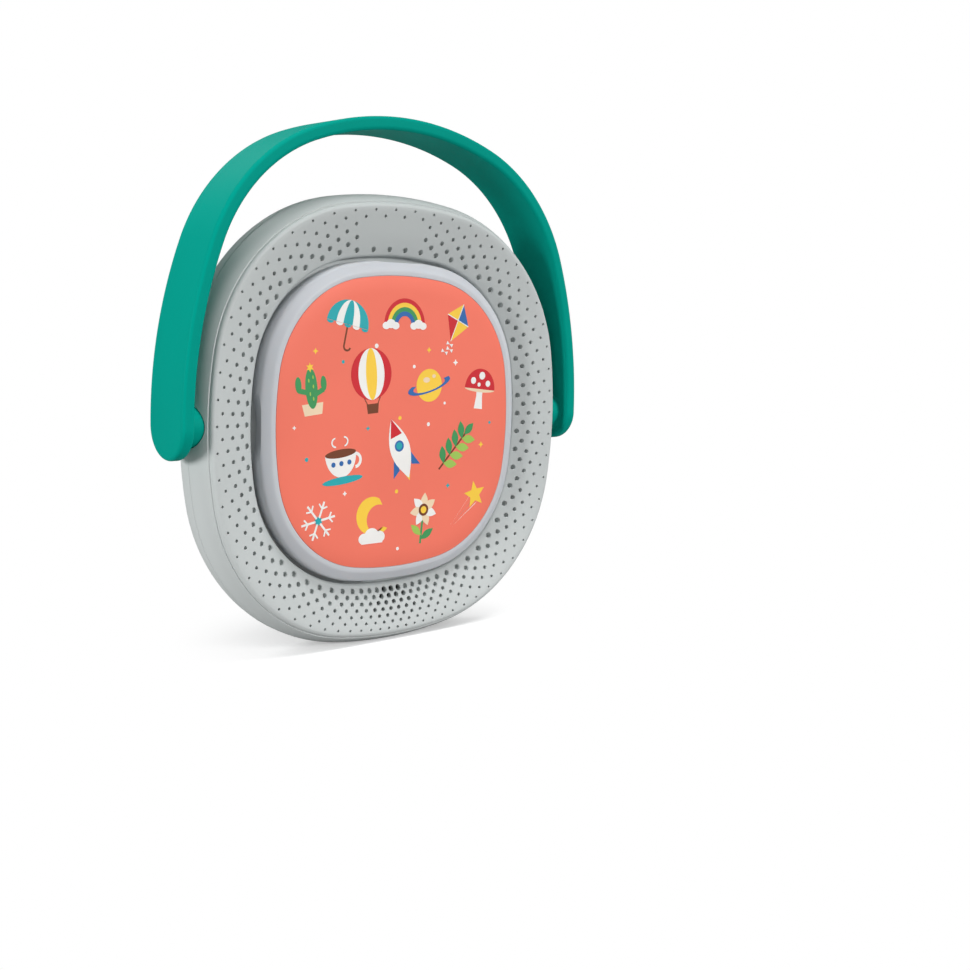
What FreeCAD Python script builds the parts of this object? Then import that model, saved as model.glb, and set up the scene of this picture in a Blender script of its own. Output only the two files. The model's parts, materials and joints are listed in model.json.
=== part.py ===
import FreeCAD, Part
import math
import os
import re
import Sketcher

# Audio story player for small children: a rounded-square loudspeaker body that stands on its
# bottom edge, a carrying handle that swings on two side hubs, and a lift-off picture disc.
# Frame, in mm: X to the right, Y to the back, Z up. The origin is the centre of the flat on
# which the player stands. Depths named *_depth are measured from the parting plane of the
# two housings, negative towards the front.

V = FreeCAD.Vector

SIZES = (
    ("body_half", 87.5),
    ("body_side_share", 2.0),
    ("body_diagonal_share", 0.752),
    ("disc_half", 62.6),
    ("disc_side_share", 2.269968),
    ("disc_diagonal_share", 0.7603834),
    ("stand_cut", 1.0),
    ("wall", 2.4),
    ("front_barrel_radius", 13.7),
    ("front_straight", 0.5),
    ("crest_depth", 9.0),
    ("face_rise", 1.4),
    ("face_edge_radius", 1.5),
    ("face_edge_inset", 3.4),
    ("dish_outer_inset", 5.6),
    ("dish_slope_width", 7.3),
    ("dish_middle_drop", 2.9),
    ("dish_inner_drop", 6.1),
    ("face_wall", 2.0),
    ("recess_clearance", 1.6),
    ("recess_floor_depth", 1.0),
    ("floor_thickness", 2.0),
    ("parting_chamfer", 0.3),
    ("rear_barrel_radius", 16.0),
    ("rear_straight", 1.5),
    ("front_inner_chamfer", 8.0),
    ("rear_inner_chamfer", 10.0),
    ("bulge_inset", 35.5),
    ("bulge_height", 4.1),
    ("bulge_edge_radius", 3.0),
    ("row_count", 7),
    ("first_row_gap", 2.6),
    ("last_row_inset", 6.0),
    ("first_hole_radius", 1.05),
    ("last_hole_radius", 0.5),
    ("dimple_deep", 1.1),
    ("open_radius", 10.2),
    ("open_centre_inset", 13.2),
    ("side_pitch_angle", 6.5),
    ("bottom_pitch_angle", 3.0),
    ("dense_spread_angle", 30.0),
    ("handle_gap", 3.3),
    ("hand_room", 23.1),
    ("handle_thick", 5.0),
    ("handle_width", 24.0),
    ("handle_edge_chamfer", 1.5),
    ("handle_corner_radius", 70.0),
    ("hub_radius", 7.8),
    ("hub_up", 1.5),
    ("hub_clearance", 0.35),
    ("bearing_inset", 6.5),
    ("neck_radius", 4.5),
    ("running_clearance", 0.06),
    ("bearing_thick", 2.0),
    ("bearing_half", 11.0),
    ("washer_thick", 0.7),
    ("washer_radius", 6.3),
    ("retainer_thick", 2.0),
    ("handle_screw_radius", 1.5),
    ("screw_head_radius", 2.8),
    ("screw_head_thick", 1.6),
    ("handle_screw_length", 7.0),
    ("disc_height", 8.0),
    ("disc_bevel_width", 3.8),
    ("disc_bevel_drop", 2.1),
    ("print_inset", 5.8),
    ("print_thick", 0.35),
    ("print_gap", 0.1),
    ("disc_wall", 5.1),
    ("disc_top_wall", 1.6),
    ("disc_back_thick", 1.2),
    ("back_clearance", 0.2),
    ("notch_radius", 40.0),
    ("notch_bite", 2.4),
    ("notch_height", 6.2),
    ("magnet_radius", 4.0),
    ("magnet_thick", 2.0),
    ("magnet_inset", 16.6),
    ("magnet_up", 28.0),
    ("tag_radius", 12.5),
    ("tag_thick", 0.6),
    ("board_thick", 1.6),
    ("board_magnet_gap", 1.0),
    ("cell_radius", 7.1),
    ("cell_length", 49.2),
    ("cell_nub_radius", 2.7),
    ("cell_nub_length", 1.2),
    ("cell_pitch", 15.0),
    ("cell_count", 3),
    ("cell_clearance", 0.3),
    ("contact_room", 3.6),
    ("contact_thick", 0.5),
    ("bay_wall", 1.6),
    ("door_thick", 1.8),
    ("door_ledge", 2.6),
    ("door_clearance", 0.25),
    ("door_screw_room", 11.0),
    ("door_screw_radius", 1.25),
    ("door_screw_length", 8.0),
    ("door_corner", 4.0),
    ("screw_post_radius", 3.4),
    ("screw_post_gap", 6.3),
    ("housing_screw_radius", 1.25),
    ("housing_screw_length", 18.5),
    ("screw_sink", 3.5),
    ("button_radius", 4.5),
    ("button_proud", 1.0),
    ("button_travel", 0.8),
    ("button_flange", 1.0),
    ("button_flange_thick", 0.8),
    ("button_pitch", 15.0),
    ("button_inset", 26.5),
    ("button_clearance", 0.08),
    ("button_room", 0.2),
    ("main_board_length", 70.0),
    ("main_board_height", 16.0),
    ("main_board_depth", 6.0),
    ("board_post_radius", 2.5),
    ("board_screw_radius", 0.9),
    ("board_screw_length", 6.0),
    ("board_screw_head", 1.9),
    ("foot_half", 20.0),
    ("foot_reach", 12.8),
    ("foot_height", 4.6),
    ("switch_side", 6.0),
    ("jack_side", 6.4),
    ("jack_bore_radius", 1.78),
    ("jack_from_end", 6.0),
    ("jack_hole_radius", 2.6),
    ("jack_sleeve_radius", 2.5),
    ("speaker_radius", 16.0),
    ("speaker_inset", 20.0),
    ("speaker_flange_thick", 2.0),
    ("speaker_depth", 11.5),
    ("speaker_magnet_radius", 8.5),
    ("speaker_magnet_thick", 4.0),
    ("cone_radius", 12.5),
    ("cone_thick", 0.6),
    ("cloth_thick", 0.5),
    ("gasket_thick", 0.6),
    ("round_sides", 12),
    ("hole_sides", 8),
)

doc = FreeCAD.newDocument("story_player")
sheet = doc.addObject("Spreadsheet::Sheet", "Sizes")


class Measures:
    """The sheet's values by name."""


size = Measures()
for row, (alias, value) in enumerate(SIZES, 1):
    sheet.set("A%d" % row, alias)
    sheet.set("B%d" % row, str(value))
    sheet.setAlias("B%d" % row, alias)
doc.recompute()
for alias, value in SIZES:
    setattr(size, alias, float(getattr(sheet, alias)))


def linked(formula):
    """A sheet formula with each alias written as a reference to its cell."""
    return re.sub(r"[a-z_]+", lambda word: "Sizes." + word.group(0), formula)


# Places that follow from the sizes

def arc_reach(radius, straight, drop):
    """How far along Y a barrel edge reaches when a plane cuts off its crown by drop."""
    return straight + math.sqrt(2 * radius * drop - drop ** 2)


front_reach = arc_reach(size.front_barrel_radius, size.front_straight, size.stand_cut)
rear_reach = arc_reach(size.rear_barrel_radius, size.rear_straight, size.stand_cut)
parting = (front_reach - rear_reach) / 2
middle = size.body_half - size.stand_cut
hub_height = middle + size.hub_up
handle_half = size.body_half + size.handle_gap + size.handle_thick
handle_rise = size.body_half - size.hub_up + size.hand_room + size.handle_thick
bearing_inner = size.body_half - size.bearing_inset
recess_inset = size.body_half - size.disc_half - size.recess_clearance
dish_middle_inset = recess_inset - size.dish_slope_width
first_row_inset = recess_inset - size.first_row_gap
row_pitch = (first_row_inset - size.last_row_inset) / (size.row_count - 1)
speaker_centre = size.speaker_inset - size.stand_cut
button_height = middle + size.body_half - size.button_inset
jack_across = size.main_board_length / 2 - size.jack_from_end
crest = parting - size.crest_depth
face_top = crest - size.face_rise
recess_floor = parting - size.recess_floor_depth
floor_back = recess_floor + size.floor_thickness
back_plane = parting + size.rear_straight + size.rear_barrel_radius
back_inside = back_plane - size.wall
bulge_back = back_plane + size.bulge_height
disc_face = recess_floor - size.disc_height


# Rounded-square outlines: four flat side arcs and four corner arcs, all tangent

def outline_arcs(half, side_radius, diagonal, inset):
    """Centre, radius, first and last angle of each arc, from the right side round."""
    shift = side_radius - half
    reach = side_radius - math.sqrt(2) * diagonal
    corner = (shift ** 2 - reach ** 2) / (2 * (math.sqrt(2) * reach - shift))
    corner_radius = math.sqrt(2) * (diagonal - corner)
    turn = math.atan2(corner, corner + shift)
    arcs = []
    for quarter in range(4):
        start = quarter * math.pi / 2
        spin = FreeCAD.Rotation(V(0, 0, 1), math.degrees(start))
        side_centre = spin.multVec(V(-shift, 0, 0))
        corner_centre = spin.multVec(V(corner, corner, 0))
        arcs.append((side_centre, side_radius - inset, start - turn, start + turn))
        arcs.append((corner_centre, corner_radius - inset, start + turn, start + math.pi / 2 - turn))
    return arcs


def body_arcs(inset):
    half = size.body_half
    return outline_arcs(half, half * size.body_side_share, half * size.body_diagonal_share, inset)


def disc_arcs(inset):
    half = size.disc_half
    return outline_arcs(half, half * size.disc_side_share, half * size.disc_diagonal_share, inset)


def upright_sketch(name, depth):
    """An empty sketch on the XZ plane at a depth, centred on the body; its normal is -Y."""
    sketch = doc.addObject("Sketcher::SketchObject", name)
    sketch.Placement = FreeCAD.Placement(V(0, depth, middle), FreeCAD.Rotation(V(1, 0, 0), 90))
    return sketch


def outline_sketch(name, arcs, depth):
    sketch = upright_sketch(name, depth)
    for centre, radius, first, last in arcs:
        sketch.addGeometry(Part.ArcOfCircle(Part.Circle(centre, V(0, 0, 1), radius), first, last), False)
    return sketch


def prism(name, sketch, formula, to_front=True):
    """A sketch extruded along Y by a sheet formula."""
    item = doc.addObject("Part::Extrusion", name)
    item.Base = sketch
    item.DirMode = "Custom"
    item.Dir = V(0, -1 if to_front else 1, 0)
    item.setExpression("LengthFwd", linked(formula))
    item.Solid = True
    return item


def cylinder(name, radius, length, start, direction=(0, 1, 0)):
    item = doc.addObject("Part::Cylinder", name)
    item.setExpression("Radius", linked(radius))
    item.setExpression("Height", linked(length))
    item.Placement = FreeCAD.Placement(V(*start), FreeCAD.Rotation(V(0, 0, 1), V(*direction)))
    return item


def rod(name, radius, length, start, direction=(0, 1, 0)):
    """A cylinder's stand-in with flat sides, for small and hidden pieces."""
    item = doc.addObject("Part::Prism", name)
    item.Polygon = int(size.round_sides)
    item.setExpression("Circumradius", linked(radius))
    item.setExpression("Height", linked(length))
    item.Placement = FreeCAD.Placement(V(*start), FreeCAD.Rotation(V(0, 0, 1), V(*direction)))
    return item


def cone(name, first_radius, last_radius, length, start, direction=(0, 1, 0)):
    """A tapered body with flat sides along the X or Y axis."""
    ends = []
    for label, radius in (("near", first_radius), ("far", last_radius)):
        end = doc.addObject("Part::RegularPolygon", name + "_" + label)
        end.Polygon = int(size.round_sides)
        end.setExpression("Circumradius", linked(radius))
        end.Placement = FreeCAD.Placement(V(*start), FreeCAD.Rotation(V(0, 0, 1), V(*direction)))
        ends.append(end)
    axis = "x" if direction[0] else "y"
    sign = "+" if sum(direction) > 0 else "-"
    formula = "%f %s (%s)" % (getattr(V(*start), axis), sign, length)
    ends[1].setExpression(".Placement.Base." + axis, linked(formula))
    item = doc.addObject("Part::Loft", name)
    item.Sections = ends
    item.Solid = True
    item.Ruled = True
    return item


def box(name, length, width, height, corner):
    item = doc.addObject("Part::Box", name)
    item.setExpression("Length", linked(length))
    item.setExpression("Width", linked(width))
    item.setExpression("Height", linked(height))
    item.Placement.Base = V(*corner)
    return item


def fuse(name, items):
    item = doc.addObject("Part::MultiFuse", name)
    item.Shapes = items
    return item


def cut(name, base, tool):
    item = doc.addObject("Part::Cut", name)
    item.Base = base
    item.Tool = tool
    return item


def common(name, items):
    item = doc.addObject("Part::MultiCommon", name)
    item.Shapes = items
    return item


def group(name, items):
    item = doc.addObject("Part::Compound", name)
    item.Links = items
    return item


def moved(name, source, shift):
    """The same shape again, moved by a vector."""
    item = doc.addObject("Part::Compound", name)
    item.Links = [source]
    item.Placement.Base = V(*shift)
    return item


def rounded(name, base, radius, wanted, kind="Part::Fillet"):
    """A fillet or chamfer on the edges whose ends and middle pass a test."""
    doc.recompute()
    picks = []
    for number, edge in enumerate(base.Shape.Edges, 1):
        points = [vertex.Point for vertex in edge.Vertexes]
        points.append(edge.valueAt((edge.FirstParameter + edge.LastParameter) / 2))
        if all(wanted(point) for point in points):
            picks.append((number, radius, radius))
    item = doc.addObject(kind, name)
    item.Base = base
    item.Edges = picks
    return item


def at_depth(depth):
    return lambda point: abs(point.y - depth) < 1e-4


# Body blanks: outlines extruded from the parting plane and rounded to the barrel section

def barrel(name, inset, radius, straight, to_front, chamfer=0):
    """A slab from the parting plane whose far edge is rounded, or chamfered where it is inside."""
    outline = outline_sketch(name + "_outline", body_arcs(inset), parting)
    formula = "front_straight + front_barrel_radius" if to_front else "rear_straight + rear_barrel_radius"
    if inset:
        formula += " - wall"
    slab = prism(name + "_slab", outline, formula, to_front)
    reach = straight + radius
    far = parting - reach if to_front else parting + reach
    if chamfer:
        return rounded(name, slab, chamfer, at_depth(far), "Part::Chamfer")
    return rounded(name, slab, radius, at_depth(far))


def half_space(name, depth, length, to_front=True):
    """A block wider than the body that starts at a depth."""
    sketch = upright_sketch(name + "_sketch", depth)
    wide = 2 * handle_half
    corners = [V(-wide, -wide, 0), V(wide, -wide, 0), V(wide, wide, 0), V(-wide, wide, 0)]
    for first, second in zip(corners, corners[1:] + corners[:1]):
        sketch.addGeometry(Part.LineSegment(first, second), False)
    return prism(name, sketch, length, to_front)


def dish(name, shift):
    """The space in front of the dished face: sloped from the crest in to the disc recess."""
    edge = disc_arcs(-size.recess_clearance)
    sections = [
        outline_sketch(name + "_inner", edge, face_top + size.dish_inner_drop + shift),
        outline_sketch(name + "_middle", body_arcs(dish_middle_inset),
                       face_top + size.dish_middle_drop + shift),
        outline_sketch(name + "_outer", body_arcs(size.dish_outer_inset), face_top + shift),
        outline_sketch(name + "_front", body_arcs(size.dish_outer_inset), face_top - size.wall),
    ]
    item = doc.addObject("Part::Loft", name)
    item.Sections = sections
    item.Solid = True
    item.Ruled = True
    return item


def face_depth(inset):
    """Depth of the dished face at an inset from the body's outline."""
    slope_inner = size.dish_inner_drop - size.dish_middle_drop
    if inset > dish_middle_inset:
        share = (inset - dish_middle_inset) / (recess_inset - dish_middle_inset)
        return face_top + size.dish_middle_drop + slope_inner * share
    share = (inset - size.dish_outer_inset) / (dish_middle_inset - size.dish_outer_inset)
    return face_top + size.dish_middle_drop * max(share, 0)


def outline_point(inset, angle):
    """The point of the body's outline, seen from its centre at an angle, as X and height."""
    for centre, radius, first, last in body_arcs(inset):
        direction = V(math.cos(angle), math.sin(angle), 0)
        along = centre.dot(direction)
        reach = along + math.sqrt(radius ** 2 - centre.dot(centre) + along ** 2)
        point = direction * reach
        turn = math.atan2(point.y - centre.y, point.x - centre.x)
        turn += 2 * math.pi * round(((first + last) / 2 - turn) / (2 * math.pi))
        if first - 1e-9 <= turn <= last + 1e-9:
            return point
    raise ValueError("the angle meets no arc")


# Perforation: seven staggered rows that shrink outwards and crowd together at the bottom

def hole_angles():
    """Angles of the hole columns from straight down, one side, ending at the top."""
    side = math.radians(size.side_pitch_angle)
    bottom = math.radians(size.bottom_pitch_angle)
    spread = math.radians(size.dense_spread_angle)
    angles = [0.0]
    while angles[-1] < math.pi:
        crowd = math.exp(-(angles[-1] / spread) ** 2)
        angles.append(angles[-1] + side - (side - bottom) * crowd)
    stretch = math.pi / angles[-1]
    return [angle * stretch for angle in angles]


def hole_places(row):
    """Centres of a row's holes, in the sketch's own X and height."""
    angles = hole_angles()
    if row % 2:
        angles = [(first + second) / 2 for first, second in zip(angles, angles[1:])]
    inset = first_row_inset - row * row_pitch
    places = []
    for angle in angles:
        for side in (1, -1):
            if side < 0 and (angle == 0 or angle == angles[-1] and row % 2 == 0):
                continue
            places.append(outline_point(inset, side * angle - math.pi / 2))
    return places


def is_open(place):
    """Holes over the loudspeaker go right through."""
    centre = V(0, size.open_centre_inset - size.body_half, 0)
    return (place - centre).Length < size.open_radius


def hole_radius(row):
    share = row / (size.row_count - 1)
    return size.first_hole_radius + (size.last_hole_radius - size.first_hole_radius) * share


def rounds(name, places, radius, depth, sides):
    """A sketch of equal regular polygons that stand for circles."""
    sketch = upright_sketch(name, depth)
    turns = [2 * math.pi * number / sides for number in range(int(sides))]
    rim = [V(radius * math.cos(turn), radius * math.sin(turn), 0) for turn in turns]
    for place in places:
        for first, second in zip(rim, rim[1:] + rim[:1]):
            sketch.addGeometry(Part.LineSegment(place + first, place + second), False)
    return sketch


def hole_sketch(name, places, radius, depth):
    return rounds(name, places, radius, depth, size.hole_sides)


def perforation():
    """The open holes of every row and the blind dimples of the row next to the disc."""
    tools = []
    for row in range(int(size.row_count)):
        inset = first_row_inset - row * row_pitch
        depth = face_depth(inset)
        places = hole_places(row)
        through = [place for place in places if is_open(place)]
        if through:
            sketch = hole_sketch("open_row_%d" % row, through, hole_radius(row), parting)
            tools.append(prism("open_holes_%d" % row, sketch, "crest_depth + face_rise + wall"))
        if row == 0:
            blind = [place for place in places if not is_open(place)]
            sketch = hole_sketch("blind_row_%d" % row, blind, hole_radius(row), depth + size.dimple_deep)
            tools.append(prism("blind_holes_%d" % row, sketch, "dimple_deep + face_wall"))
    return tools


# Screw posts, at the four corners and at the top

def post_places():
    inset = recess_inset - size.screw_post_gap
    corner = outline_point(inset, math.pi / 4)
    places = [V(side * corner.x, up * corner.y, 0) for side in (1, -1) for up in (1, -1)]
    places.append(outline_point(inset, math.pi / 2))
    return places


def circles(name, places, radius, depth):
    return rounds(name, places, radius, depth, size.round_sides)


posts = post_places()


def bearing_blocks(name):
    """The two blocks that carry the handle's necks, kept solid inside both housings."""
    blocks = []
    for side, label in ((1, "right"), (-1, "left")):
        outer = size.body_half + size.wall
        near = bearing_inner if side > 0 else -outer
        blocks.append(box("%s_%s" % (name, label), "bearing_inset + wall",
                          "2 * hub_radius + 2 * wall", "2 * bearing_half",
                          (near, parting - size.hub_radius - size.wall, hub_height - size.bearing_half)))
    return blocks


def hub_holes(name):
    """Bores for both necks and the wider pockets for both hub bosses."""
    tools = []
    for side, label in ((1, "right"), (-1, "left")):
        start = side * (bearing_inner - size.wall)
        tools.append(cylinder("%s_neck_%s" % (name, label), "neck_radius + running_clearance",
                              "2 * bearing_thick + wall", (start, parting, hub_height), (side, 0, 0)))
        pocket = side * (bearing_inner + size.bearing_thick)
        tools.append(cylinder("%s_hub_%s" % (name, label), "hub_radius + hub_clearance",
                              "bearing_inset + wall", (pocket, parting, hub_height), (side, 0, 0)))
    return tools


def stand_tool(name):
    """What the flat under the body cuts away."""
    return box(name, "2 * body_half", "2 * body_half", "body_half",
               (-size.body_half, -size.body_half, -size.body_half))


# Front housing

def front_housing():
    full = barrel("front_barrel", 0, size.front_barrel_radius, size.front_straight, True)
    beyond = half_space("beyond_crest", crest, "body_half")
    shell = rounded("front_edge", cut("front_blank", full, beyond), size.parting_chamfer,
                    at_depth(parting), "Part::Chamfer")
    rise_outline = outline_sketch("face_outline", body_arcs(size.face_edge_inset), crest + size.wall)
    rise = rounded("face_ring", prism("face_slab", rise_outline, "wall + face_rise"),
                   size.face_edge_radius, at_depth(face_top))
    block_arcs = disc_arcs(-size.recess_clearance - size.face_wall)
    block = prism("floor_block", outline_sketch("floor_outline", block_arcs, floor_back),
                  "floor_thickness + crest_depth")
    recess = prism("disc_recess", outline_sketch("recess_outline", disc_arcs(-size.recess_clearance),
                   recess_floor), "crest_depth + face_rise")
    solid = fuse("front_solid", [shell, rise, block])

    inner = barrel("front_inner", size.wall, size.front_barrel_radius - size.wall,
                   size.front_straight, True, size.front_inner_chamfer)
    post_sketch = circles("front_post_circles", posts, size.screw_post_radius, parting)
    keep = fuse("front_keep", [
        half_space("front_skin", crest + size.face_wall, "body_half"),
        dish("dish_inside", size.face_wall),
        prism("floor_keep", outline_sketch("floor_keep_outline", block_arcs, floor_back),
              "floor_thickness + crest_depth"),
        prism("front_posts", post_sketch, "crest_depth + face_rise"),
        ring("speaker_collar", "speaker_radius", "cone_radius + wall", "crest_depth + floor_thickness",
             (0, crest, speaker_centre)),
    ] + bearing_blocks("front_bearing"))
    behind = half_space("behind_floor", floor_back, "body_half", False)
    keep = cut("front_kept", keep, behind)
    cavity = cut("front_cavity", inner, keep)
    pilot_sketch = circles("front_pilot_circles", posts, size.housing_screw_radius, floor_back)
    pilots = prism("front_pilots", pilot_sketch, "crest_depth - face_wall - recess_floor_depth")
    tools = fuse("front_tools", [dish("dish_face", 0), recess, cavity, pilots,
                                 stand_tool("front_stand")] + hub_holes("front") + perforation())
    return cut("front_housing", solid, tools)


# Rear housing, with the battery bay in its bulge

bay_length = size.cell_length + size.cell_nub_length + 2 * size.contact_room
bay_height = size.cell_count * size.cell_pitch + 2 * size.cell_clearance
BAY_LENGTH = "cell_length + cell_nub_length + 2 * contact_room"
BAY_HEIGHT = "cell_count * cell_pitch + 2 * cell_clearance"
cell_back = bulge_back - size.door_thick - size.cell_clearance
cell_depth = cell_back - size.cell_radius
bay_front = cell_depth - size.cell_radius - size.cell_clearance
BAY_DEEP = "2 * cell_radius + 2 * cell_clearance + door_thick"
door_right = bay_length / 2 + size.door_screw_room


def bay_space():
    return box("bay_space", BAY_LENGTH, BAY_DEEP, BAY_HEIGHT,
               (-bay_length / 2, bay_front, middle - bay_height / 2))


def door_outline(name, grow, depth):
    """The battery door's rounded rectangle, grown all round by a clearance."""
    left = -bay_length / 2 - size.door_ledge - grow
    right = door_right + grow
    top = bay_height / 2 + size.door_ledge + grow
    corner = size.door_corner + grow
    sketch = upright_sketch(name, depth)
    straights = (
        (V(left + corner, -top, 0), V(right - corner, -top, 0)),
        (V(right, -top + corner, 0), V(right, top - corner, 0)),
        (V(right - corner, top, 0), V(left + corner, top, 0)),
        (V(left, top - corner, 0), V(left, -top + corner, 0)),
    )
    for start, end in straights:
        sketch.addGeometry(Part.LineSegment(start, end), False)
    for turn, (x, z) in enumerate(((right, -top), (right, top), (left, top), (left, -top))):
        centre = V(x - math.copysign(corner, x), z - math.copysign(corner, z), 0)
        first = (turn - 1) * math.pi / 2
        sketch.addGeometry(Part.ArcOfCircle(Part.Circle(centre, V(0, 0, 1), corner),
                                            first, first + math.pi / 2), False)
    return sketch


door_inside = bulge_back - size.door_thick
door_screw_x = door_right - size.door_screw_room / 2


def button_places():
    return {
        "volume_down_button": -size.button_pitch,
        "power_button": 0.0,
        "volume_up_button": size.button_pitch,
    }


def board_posts(name, radius, depth, length):
    """Cylinders at the three places where the main board is screwed down."""
    across = size.main_board_length / 2 - size.screw_post_radius
    low = button_height - size.main_board_height / 2 + size.running_clearance
    high = low + size.main_board_height / 2 + size.board_post_radius / 2
    places = [(across, low), (-across, low), (-across, high)]
    return [rod("%s_%d" % (name, number), radius, length, (x, depth, z))
            for number, (x, z) in enumerate(places)]


def rear_housing():
    full = barrel("rear_barrel", 0, size.rear_barrel_radius, size.rear_straight, False)
    shell = rounded("rear_edge", full, size.parting_chamfer, at_depth(parting), "Part::Chamfer")
    bulge_outline = outline_sketch("bulge_outline", body_arcs(size.bulge_inset), back_inside)
    bulge = rounded("bulge", prism("bulge_slab", bulge_outline, "wall + bulge_height", False),
                    size.bulge_edge_radius, at_depth(bulge_back))
    foot_block = box("foot_block", "2 * foot_half", "foot_reach", "foot_height", (-size.foot_half, 0, 0))
    foot = rounded("rear_foot", foot_block, size.foot_height / 2,
                   lambda point: abs(point.y - size.foot_reach) < 1e-4
                   and abs(abs(point.x) - size.foot_half) < 1e-4, "Part::Chamfer")
    solid = fuse("rear_solid", [shell, bulge, foot])

    inner = barrel("rear_inner", size.wall, size.rear_barrel_radius - size.wall,
                   size.rear_straight, False, size.rear_inner_chamfer)
    hollow_outline = outline_sketch("hollow_outline", body_arcs(size.bulge_inset + size.wall), parting)
    hollow = prism("bulge_hollow", hollow_outline,
                   "rear_straight + rear_barrel_radius + bulge_height - wall", False)
    bay_block = box("bay_block", BAY_LENGTH + " + 2 * bay_wall", BAY_DEEP + " + bay_wall",
                    BAY_HEIGHT + " + 2 * bay_wall",
                    (-bay_length / 2 - size.bay_wall, bay_front - size.bay_wall,
                     middle - bay_height / 2 - size.bay_wall))
    door_post = rod("door_post", "screw_post_radius", "door_screw_length + door_thick",
                    (door_screw_x, door_inside - size.door_screw_length, middle))
    ledge = prism("door_ledge", door_outline("ledge_outline", size.bay_wall, door_inside
                  - size.bay_wall), "bay_wall + door_thick", False)
    rear_posts = prism("rear_posts", circles("rear_post_circles", posts, size.screw_post_radius,
                       parting), "rear_straight + rear_barrel_radius", False)
    keep = fuse("rear_keep", [bay_block, door_post, ledge, rear_posts] + bearing_blocks("rear_bearing")
                + board_posts("board_post", "board_post_radius", board_back, "rear_barrel_radius"))
    cavity = cut("rear_cavity", fuse("rear_inside", [inner, hollow]), keep)

    shank = prism("rear_shanks", circles("rear_shank_circles", posts,
                  size.housing_screw_radius + size.door_clearance, parting),
                  "rear_straight + rear_barrel_radius", False)
    sink = prism("rear_sinks", circles("rear_sink_circles", posts,
                 size.screw_head_radius + size.door_clearance, back_plane - size.screw_sink),
                 "screw_sink + wall", False)
    door_place = prism("door_place", door_outline("door_place_outline", size.door_clearance,
                       door_inside), "door_thick + wall", False)
    door_pilot = rod("door_pilot", "door_screw_radius + running_clearance", "door_screw_length",
                     (door_screw_x, door_inside - size.door_screw_length, middle))
    tools = [cavity, shank, sink, door_place, door_pilot, bay_space(), stand_tool("rear_stand")]
    for name, across in button_places().items():
        tools.append(cylinder(name + "_hole", "button_radius + button_clearance", "2 * wall",
                              (across, back_inside - size.wall, button_height)))
    tools.append(cylinder("jack_hole", "jack_hole_radius", "2 * wall",
                          (jack_across, back_inside - size.wall, button_height)))
    tools += board_posts("board_pilot", "board_screw_radius", board_back,
                         "board_screw_length - board_thick")
    return cut("rear_housing", solid, fuse("rear_tools", tools + hub_holes("rear")))


# Handle: one moulded arch with round ends, hub bosses and necks

def handle_path_points():
    """Side, corner and top arcs of the arch's outer line, as centre, radius and angles."""
    half = handle_half
    rise = handle_rise
    radius = size.handle_corner_radius
    share = size.body_diagonal_share
    normal = V(rise, half, 0).normalize()
    corner = V(half * share, rise * share, 0) - normal * radius
    across = corner.x - half
    side_radius = (radius ** 2 - across ** 2 - corner.y ** 2) / (2 * (across + radius))
    upward = corner.y - rise
    top_radius = (radius ** 2 - upward ** 2 - corner.x ** 2) / (2 * (upward + radius))
    side_turn = math.atan2(corner.y, corner.x - half + side_radius)
    top_turn = math.atan2(corner.y - rise + top_radius, corner.x)
    return corner, side_radius, top_radius, side_turn, top_turn


def handle_spine():
    corner, side_radius, top_radius, side_turn, top_turn = handle_path_points()
    mid = size.handle_thick / 2
    sketch = upright_sketch("handle_spine", parting)
    sketch.Placement.Base = V(0, parting, hub_height)
    arcs = (
        (V(handle_half - side_radius, 0, 0), side_radius, 0, side_turn),
        (corner, size.handle_corner_radius, side_turn, top_turn),
        (V(0, handle_rise - top_radius, 0), top_radius, top_turn, math.pi - top_turn),
        (V(-corner.x, corner.y, 0), size.handle_corner_radius, math.pi - top_turn, math.pi - side_turn),
        (V(side_radius - handle_half, 0, 0), side_radius, math.pi - side_turn, math.pi),
    )
    for centre, radius, first, last in arcs:
        sketch.addGeometry(Part.ArcOfCircle(Part.Circle(centre, V(0, 0, 1), radius - mid),
                                            first, last), False)
    return sketch


def handle_section(name, side, half_only):
    """The band's section at a hub, or its rear half for the round end."""
    sketch = doc.addObject("Sketcher::SketchObject", name)
    sketch.Placement.Base = V(0, parting, hub_height)
    outer = side * handle_half
    inner = side * (handle_half - size.handle_thick)
    low, high = min(outer, inner), max(outer, inner)
    wide = size.handle_width / 2
    edge = size.handle_edge_chamfer
    back = [(high, wide - edge), (high - edge, wide), (low + edge, wide), (low, wide - edge)]
    if half_only:
        ring_points = [(high, 0)] + back + [(low, 0)]
    else:
        ring_points = back + [(x, -y) for x, y in reversed(back)]
    corners = [V(x, y, 0) for x, y in ring_points]
    for start, end in zip(corners, corners[1:] + corners[:1]):
        sketch.addGeometry(Part.LineSegment(start, end), False)
    return sketch


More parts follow.
